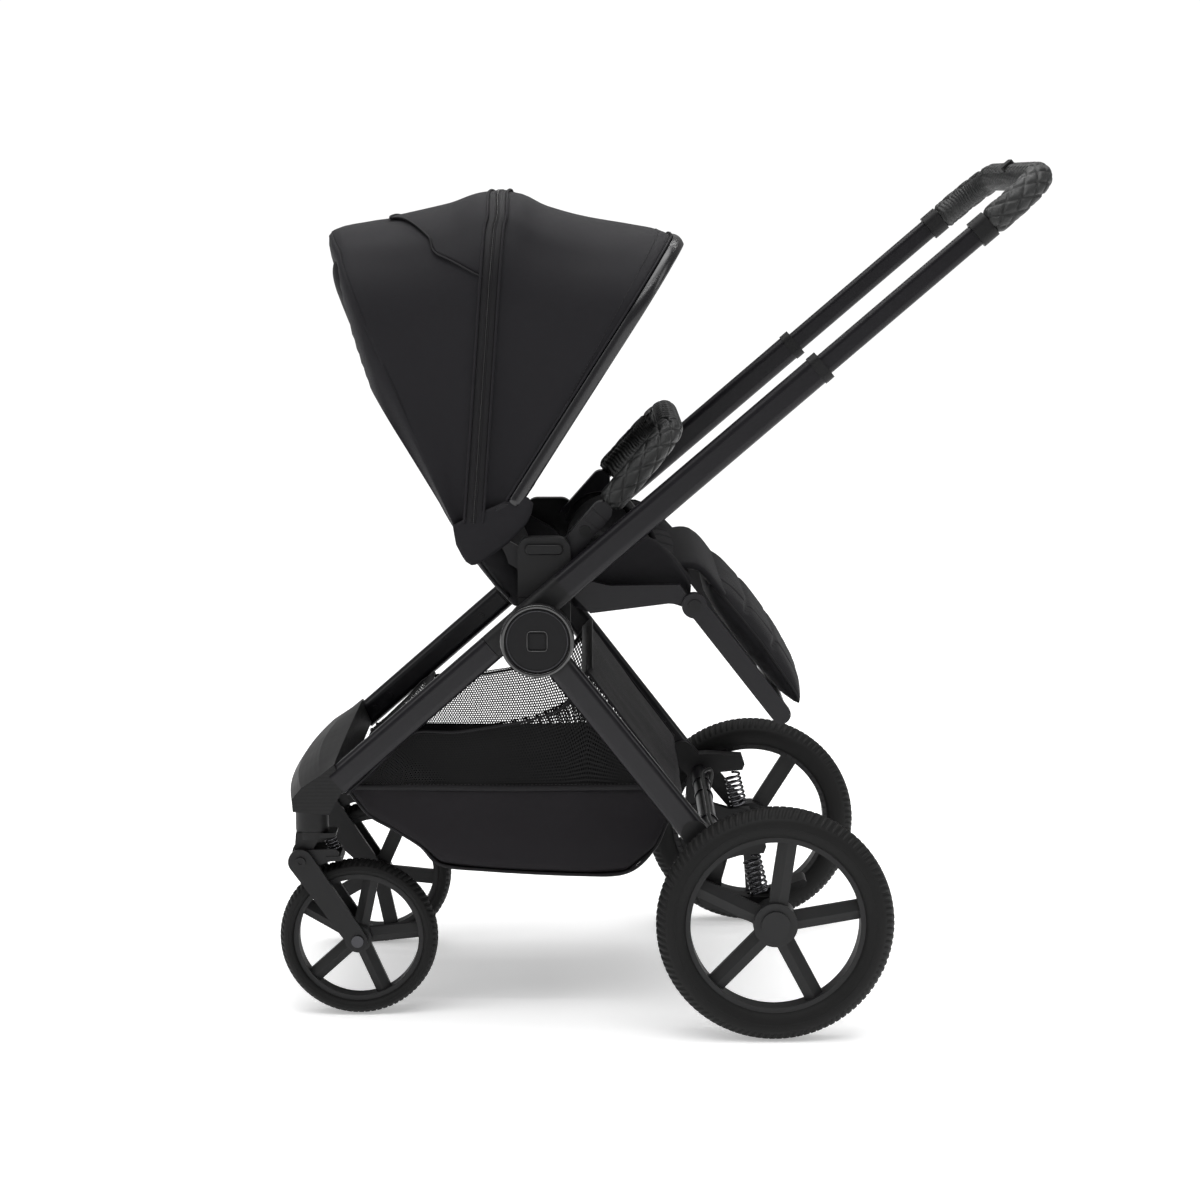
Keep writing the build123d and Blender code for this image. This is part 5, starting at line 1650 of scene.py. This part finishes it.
@dataclass
class Grip:
    """Quilted sleeve on a bent bar, gathered on its inner side; millimetres."""

    name: str
    body: str
    node: str
    foot: Side
    angle: float
    start: float
    reach: float
    half_span: float
    corner: float
    radius: float
    quilt: float = 30.0
    around: int = 80

    def line(self) -> list[Vector]:
        """Centre line from one end of the sleeve to the other."""
        low, high = polar(self.foot, self.angle, self.start), polar(self.foot, self.angle, self.reach)
        corners = [
            mm(low[0], self.half_span, low[1]), mm(high[0], self.half_span, high[1]),
            mm(high[0], -self.half_span, high[1]), mm(low[0], -self.half_span, low[1]),
        ]
        return bent_line(corners, self.corner / 1000, 0.0015)

    def ring(self, travelled: float, total: float) -> list[Side]:
        """Section at a distance along the sleeve; the first offset points away from the bend."""
        points = []
        s = travelled * 1000
        close = min(s, total * 1000 - s)
        for i in range(self.around):
            turn = 2 * math.pi * (i / self.around) - math.pi
            arc = turn * self.radius
            lines = []
            for way in (1, -1):
                phase = (s + way * arc * 1.35) / self.quilt
                lines.append(abs(phase - round(phase)) * self.quilt * 0.6)
            groove = math.exp(-((min(lines) / 1.45) ** 2))
            puff = min(1.0, min(lines) / 6.0)
            quilted = self.radius - 2.1 * groove - 0.45 * (1 - puff)
            folds = 0.5 + 0.5 * math.sin(
                s * 2 * math.pi / 5.2 + 1.4 * math.sin(turn * 5) + 0.8 * math.sin(s * 0.31)
            )
            gathered = self.radius - 1.6 + 1.4 * folds
            inner = ease(2.0, 2.12, abs(turn))
            rim = math.exp(-(((abs(turn) - 2.06) * self.radius / 1.1) ** 2))
            size = quilted * (1 - inner) + gathered * inner - 1.2 * rim
            size -= 3.5 * (1 - ease(0, 6, close))
            points.append((size / 1000 * math.cos(turn), size / 1000 * math.sin(turn)))
        return points

    def pieces(self) -> list[Piece]:
        """The sleeve."""
        lift = math.radians(self.angle + 90)
        up = Vector((-math.cos(lift), 0, -math.sin(lift)))
        sleeve = sweep(self.name, self.line(), self.ring, up)
        return [Piece(sleeve, self.body, "leatherette", HIDE, (self.node,))]


# ---- wheels -----------------------------------------------------------------------------------------


class Axle(Enum):
    """The two axles of the pushchair."""

    REAR = "rear"
    FRONT = "front"


@dataclass
class Wheel:
    """Treaded tyre and the ribbed back of one wheel; millimetres."""

    axle: Axle
    side: int
    centre: Side
    across: float
    radius: float
    depth: float
    width: float
    lugs: int

    def arc(self, a: Side, b: Side, c: Side, count: int) -> list[Side]:
        """Points of the circle through three (radius, across) points, from a to c."""
        ax, ay, bx, by, cx, cy = *a, *b, *c
        d = 2 * (ax * (by - cy) + bx * (cy - ay) + cx * (ay - by))
        ux = ((ax**2 + ay**2) * (by - cy) + (bx**2 + by**2) * (cy - ay) + (cx**2 + cy**2) * (ay - by)) / d
        uy = ((ax**2 + ay**2) * (cx - bx) + (bx**2 + by**2) * (ax - cx) + (cx**2 + cy**2) * (bx - ax)) / d
        r = math.hypot(ax - ux, ay - uy)
        first, last = math.atan2(ay - uy, ax - ux), math.atan2(cy - uy, cx - ux)
        way = math.remainder(math.atan2(by - uy, bx - ux) - first, 2 * math.pi)
        turn = math.remainder(last - first, 2 * math.pi)
        if way * turn < 0:
            turn -= math.copysign(2 * math.pi, turn)
        return [
            (ux + r * math.cos(first + turn * i / count), uy + r * math.sin(first + turn * i / count))
            for i in range(count + 1)
        ]

    def section(self, shrink: float) -> list[Side]:
        """Half section of the tyre from the crown to its seat on the rim."""
        half = self.width / 2
        shoulder = (self.radius - 0.25 * self.depth, 0.78 * half)
        base = (self.radius - self.depth, 0.62 * half)
        tread = self.arc(
            (self.radius, 0),
            (self.radius - 0.25 * self.depth + (0.25 * self.depth) * 0.75, 0.39 * half), shoulder, 8,
        )
        tread = [(r - shrink, y) for r, y in tread]
        wall = self.arc(shoulder, (self.radius - 0.6 * self.depth, half), base, 8)
        wall[0] = (wall[0][0] - shrink, wall[0][1])
        return [*tread[:-1], *wall]

    def tyre(self) -> bpy.types.Object:
        """Carcass of the tyre; the moulded line on its wall is a separate hoop made in pieces()."""
        half = self.section(1.2)
        ring = [*half, *[(r, -y) for r, y in reversed(half)]][:-1]
        rows = []
        for i in range(121):
            turn = 2 * math.pi * i / 120
            rows.append(
                [
                    mm(
                        self.centre[0] + r * math.cos(turn), self.across + y,
                        self.centre[1] + r * math.sin(turn),
                    )
                    for r, y in ring
                ]
            )
        made = lay_grid(f"{self.axle.value}_tyre_body_{SIDE_NAMES[self.side]}", rows, wrap=True)
        return weld(made)

    def lug(self, hand: int) -> bpy.types.Object:
        """One slanted tread block of one half of the tread, axle at the origin."""
        pitch = 360 / self.lugs
        half = self.width / 2
        rows = []
        for share in (0.03, 0.12, 0.3, 0.5, 0.7, 0.86, 1.0):
            y = share * half * 0.93
            spots = self.section(0.0)
            r = max(
                b[0] + (a[0] - b[0]) * (b[1] - y) / max(b[1] - a[1], 1e-6)
                if a[1] <= y <= b[1] else 0.0 for a, b in zip(spots, spots[1:])
            )
            slant = pitch * (0.55 * share + (0.25 if hand > 0 else 0.0)) * 1.3
            wide = pitch * (0.34 if share < 0.8 else 0.30)
            rise = 0.0 if 0.05 < share < 0.95 else -0.6
            row = []
            for edge, drop in ((-1.0, 2.4), (-0.86, 0.0), (0.86, 0.0), (1.0, 2.4)):
                turn = math.radians(slant + edge * wide)
                size = r - drop + (rise if drop == 0 else 0)
                row.append(mm(size * math.cos(turn), hand * y, size * math.sin(turn)))
            rows.append(row)
        return lay_grid(
            f"{self.axle.value}_tread_{'outer' if hand > 0 else 'inner'}_{SIDE_NAMES[self.side]}",
            rows, wrap=True, caps=True,
        )

    def rim_rib(self) -> bpy.types.Object:
        """One web of the ribbed ring behind the rim, axle at the origin."""
        low, high = self.radius - self.depth - 5.0, self.radius - self.depth + 9.0
        inward = -self.side
        rows = []
        for r in (low, high):
            rows.append(
                [mm(r, inward * y, z) for y, z in ((7.0, -0.8), (13.6, -0.6), (13.6, 0.6), (7.0, 0.8))]
            )
        return lay_grid(f"{self.axle.value}_rim_ribs_{SIDE_NAMES[self.side]}", rows, wrap=True, caps=True)

    def hoop(self, name: str, radius: float, y: float, thick: float, finish_width: float) -> bpy.types.Object:
        """Moulded hoop round the axle, of a rounded flat section."""
        rows = []
        for i in range(RING_STEPS + 1):
            turn = 2 * math.pi * i / RING_STEPS
            row = []
            for k in range(RING_SIDES):
                a = 2 * math.pi * k / RING_SIDES
                r = radius + thick / 2 * math.cos(a)
                row.append(
                    mm(
                        self.centre[0] + r * math.cos(turn),
                        self.across + y + finish_width / 2 * math.sin(a),
                        self.centre[1] + r * math.sin(turn),
                    )
                )
            rows.append(row)
        made = lay_grid(name, rows, wrap=True)
        return weld(made)

    def pieces(self) -> list[Piece]:
        """Tyre, tread, and the rear wheel's ribbed ring."""
        place = mm(self.centre[0], self.across, self.centre[1])
        name = SIDE_NAMES[self.side]
        body = f"{self.axle.value}_wheel_{name}"
        node = f"{self.axle.value}_tyre_{name}"
        pieces = [Piece(self.tyre(), body, "tyre_black", RUBBER, (node,))]
        for hand in (LEFT, RIGHT):
            tread = Repeats.round_axle(self.lug(hand), self.lugs, place, RUBBER)
            pieces.append(Piece(tread, body, "tyre_black", RUBBER))
        if self.axle is Axle.REAR:
            ribs = Repeats.round_axle(self.rim_rib(), 70, place, WHEEL)
            pieces.append(Piece(ribs, body, "wheel_black", WHEEL))
            hoop = self.hoop(
                f"rear_rim_lip_{name}", self.radius - self.depth + 9.5, -self.side * 13.4, 1.6, 1.2,
            )
            pieces.append(Piece(hoop, body, "wheel_black", GLOSS))
        bead = self.hoop(
            f"{self.axle.value}_wall_bead_{name}", self.radius - 0.62 * self.depth,
            self.side * (self.width / 2 - 0.35), 1.4, 1.3,
        )
        pieces.append(Piece(bead, body, "tyre_black", RUBBER))
        return pieces


# ---- studio -----------------------------------------------------------------------------------------


@dataclass
class Studio:
    """Pale floor, soft lights and the camera; metres."""

    camera_place: tuple[float, float, float] = (-0.0813, -3.5621, 1.0340)
    pitch: float = 0.149
    lens: float = 83.57
    lamps: tuple[tuple, ...] = (
        ("top softbox", (-0.2, 0.2, 3.0), (0, 0, 0.4), (2.2, 1.6), 26),
        ("left softbox", (-3.0, -1.4, 1.9), (0, 0, 0.5), (0.9, 2.2), 16),
        ("right softbox", (3.2, -0.8, 2.2), (0, 0, 0.5), (0.9, 2.4), 18),
        ("edge strip", (0.0, -1.5, 3.1), (0, -0.2, 0.5), (3.2, 0.10), 11),
        ("rear strip", (0.2, 1.7, 2.6), (0, 0, 0.6), (2.6, 0.12), 9),
    )

    def light(
        self, name: str, place: tuple[float, float, float], aim: tuple[float, float, float],
        size: tuple[float, float], power: float,
    ) -> None:
        """Soft rectangular light that looks at a point."""
        data = bpy.data.lights.new(name, "AREA")
        data.shape, data.size, data.size_y, data.energy = "RECTANGLE", *size, power
        lamp = bpy.data.objects.new(name, data)
        lamp.location = place
        lamp.rotation_euler = (Vector(aim) - Vector(place)).to_track_quat("-Z", "Y").to_euler()
        bpy.context.scene.collection.objects.link(lamp)

    def build(self) -> None:
        """Sets up the floor, the sky, the lights and the camera."""
        size = 14.0
        rows = [[Vector((x, y, 0.0)) for x in (-size, 0, size)] for y in (size, 0, -size)]
        floor = lay_grid("floor", rows)
        paint = bpy.data.materials.new("Pale floor")
        paint.use_nodes = True
        shader = paint.node_tree.nodes["Principled BSDF"]
        shader.inputs["Base Color"].default_value = (0.985, 0.985, 0.985, 1)
        shader.inputs["Roughness"].default_value = 0.8
        shader.inputs["Specular IOR Level"].default_value = 0.1
        shader.inputs["Emission Color"].default_value = (1.0, 1.0, 1.0, 1.0)
        shader.inputs["Emission Strength"].default_value = 0.36
        floor.data.materials.append(paint)
        scene = bpy.context.scene
        scene.view_settings.view_transform = "Standard"
        world = bpy.data.worlds.new("Studio")
        scene.world = world
        world.use_nodes = True
        w = Wiring(world.node_tree)
        world.node_tree.nodes.clear()
        seen = w.node("ShaderNodeLightPath").outputs["Is Camera Ray"]
        strength = w.calc("ADD", w.calc("MULTIPLY", seen, 0.80), 0.24)
        sky = w.node("ShaderNodeBackground", {"Color": (1.0, 1.0, 1.0, 1.0), "Strength": strength})
        end = w.node("ShaderNodeOutputWorld")
        w.tree.links.new(sky.outputs[0], end.inputs["Surface"])
        for lamp in self.lamps:
            self.light(*lamp)
        sun = bpy.data.lights.new("sky glow", "SUN")
        sun.energy, sun.angle = 1.7, math.radians(70)
        lamp = bpy.data.objects.new("sky glow", sun)
        lamp.rotation_euler = (0.12, -0.1, 0.0)
        bpy.context.scene.collection.objects.link(lamp)
        data = bpy.data.cameras.new("camera")
        data.lens, data.sensor_width = self.lens, 36.0
        camera = bpy.data.objects.new("camera", data)
        camera.location = self.camera_place
        camera.rotation_euler = (math.pi / 2 - self.pitch, 0.0, -0.003)
        scene.collection.objects.link(camera)
        scene.camera = camera


# ---- assembly ---------------------------------------------------------------------------------------


def dress_frame() -> None:
    """Gives every CAD node its finish by its material slot."""
    slots = {row["node"]: row["material_slot"] for row in frame["record"]["subparts"]}
    for name, obj in frame["nodes"].items():
        finish = NODE_FINISHES.get(name) or CAD_FINISHES[slots[name]]
        obj.data.materials.clear()
        obj.data.materials.append(finish.material())
        log.info("%s wears %s", name, finish.name)


@dataclass
class Coil:
    """Spring wire between two seats; millimetres."""

    node: str
    fixed: str
    moving: str
    top: Side
    foot: Side
    radius: float
    wire: float
    turns: int

    def pieces(self) -> list[Piece]:
        """The wire, in place of the CAD spring."""
        low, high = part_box(self.node)
        y = (low[1] + high[1]) * 500
        start, end = mm(self.foot[0], y, self.foot[1]), mm(self.top[0], y, self.top[1])
        axis = (end - start).normalized()
        side = Vector((0, 1, 0))
        front = axis.cross(side)
        line = []
        for i in range(self.turns * COIL_STEPS + 1):
            share = i / (self.turns * COIL_STEPS)
            turn = 2 * math.pi * i / COIL_STEPS
            offset = (side * math.cos(turn) + front * math.sin(turn)) * self.radius / 1000
            line.append(start.lerp(end, 0.03 + 0.94 * share) + offset)
        coil = sweep(f"{self.node}_wire", line, cord_outline(self.wire / 1000), axis)
        return [Piece(coil, self.fixed, "spring_steel", SPRING, (self.node,), (self.moving, end, start))]


@dataclass
class HubTrim:
    """Bright rings and the square boss on the two hub caps; millimetres."""

    centre: Side = HUB
    rings: tuple[tuple[str, float, float, float, Finish], ...] = (
        ("outer", 41.6, 5.0, 2.4, GLOSS),
        ("inner", 36.4, 1.3, 1.6, STEEL),
        ("boss", 12.0, 1.2, 1.4, GLOSS),
    )

    def ring(
        self, name: str, radius: float, y: float, wide: float, proud: float, square: float,
    ) -> bpy.types.Object:
        """Raised ring on the cap's face; square pulls it towards a rounded square."""
        rows = []
        for i in range(RING_STEPS + 1):
            turn = 2 * math.pi * i / RING_STEPS
            c, s = math.cos(turn), math.sin(turn)
            grow = (abs(c) ** square + abs(s) ** square) ** (-1 / square)
            row = []
            for k in range(RING_SIDES):
                a = 2 * math.pi * k / RING_SIDES
                r = radius * grow + wide / 2 * math.cos(a)
                row.append(mm(self.centre[0] + r * c, y + proud / 2 * math.sin(a), self.centre[1] + r * s))
            rows.append(row)
        return lay_grid(name, rows[:-1] + [rows[0]], wrap=True)

    def pieces(self) -> list[Piece]:
        """Rings of both caps."""
        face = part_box("hub_caps")[1][1] * 1000
        made = []
        for side in (LEFT, RIGHT):
            for name, radius, wide, proud, finish in self.rings:
                ring = self.ring(
                    f"hub_{name}_ring_{SIDE_NAMES[side]}", radius, side * (face - 0.25 * proud),
                    wide, proud, 6.0 if name == "boss" else 2.0,
                )
                made.append(Piece(weld(ring), "chassis", "gloss_black", finish))
        return made


def grips() -> list[Grip]:
    """The handle's and the bumper bar's sleeves."""
    foot = polar(HUB, HANDLE_ANGLE + 90, HANDLE_OFFSET)
    return [
        Grip(
            "handle_sleeve", "telescope", "handle_grip", foot, HANDLE_ANGLE, 729.0, 813.0, 236.0, 62.0,
            18.0, quilt=26.0,
        ),
        Grip(
            "bumper_sleeve", "bumper", "bumper_grip", (-112.0, 588.0), 48.6, 78.0, 192.0, 185.0,
            72.0, 17.0, quilt=30.0,
        ),
    ]


def springs() -> list[Coil]:
    """The four suspension springs."""
    made = []
    for name in SIDE_NAMES.values():
        made.append(
            Coil(
                f"rear_spring_{name}", "rear_frame", f"trailing_arm_{name}", (113.5, 219.0),
                (125.0, 172.0), 10.5, 1.7, 7,
            )
        )
        made.append(
            Coil(
                f"front_spring_{name}", f"caster_{name}", f"fork_{name}", (-408.3, 225.4),
                (-402.5, 208.0), 7.0, 1.2, 4,
            )
        )
    return made


def wheels() -> list[Wheel]:
    """All four wheels."""
    made = []
    for side in (LEFT, RIGHT):
        made.append(Wheel(Axle.REAR, side, (141.0, 145.0), side * 280.0, 145.0, 36.0, 42.0, 106))
        made.append(Wheel(Axle.FRONT, side, (-373.0, 99.0), side * 166.0, 99.0, 18.0, 36.0, 80))
    return made


def main() -> None:
    """Builds the studio and every piece."""
    logging.basicConfig(level=logging.INFO, format="%(name)s: %(message)s")
    Studio().build()
    dress_frame()
    makers = [
        Canopy(), BackShell(), SeatLiner(), LegRest(), Basket(), HubTrim(), *springs(), *grips(),
        *wheels(),
    ]
    for maker in makers:
        for piece in maker.pieces():
            piece.install()
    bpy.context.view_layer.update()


if __name__ == "__main__":
    main()
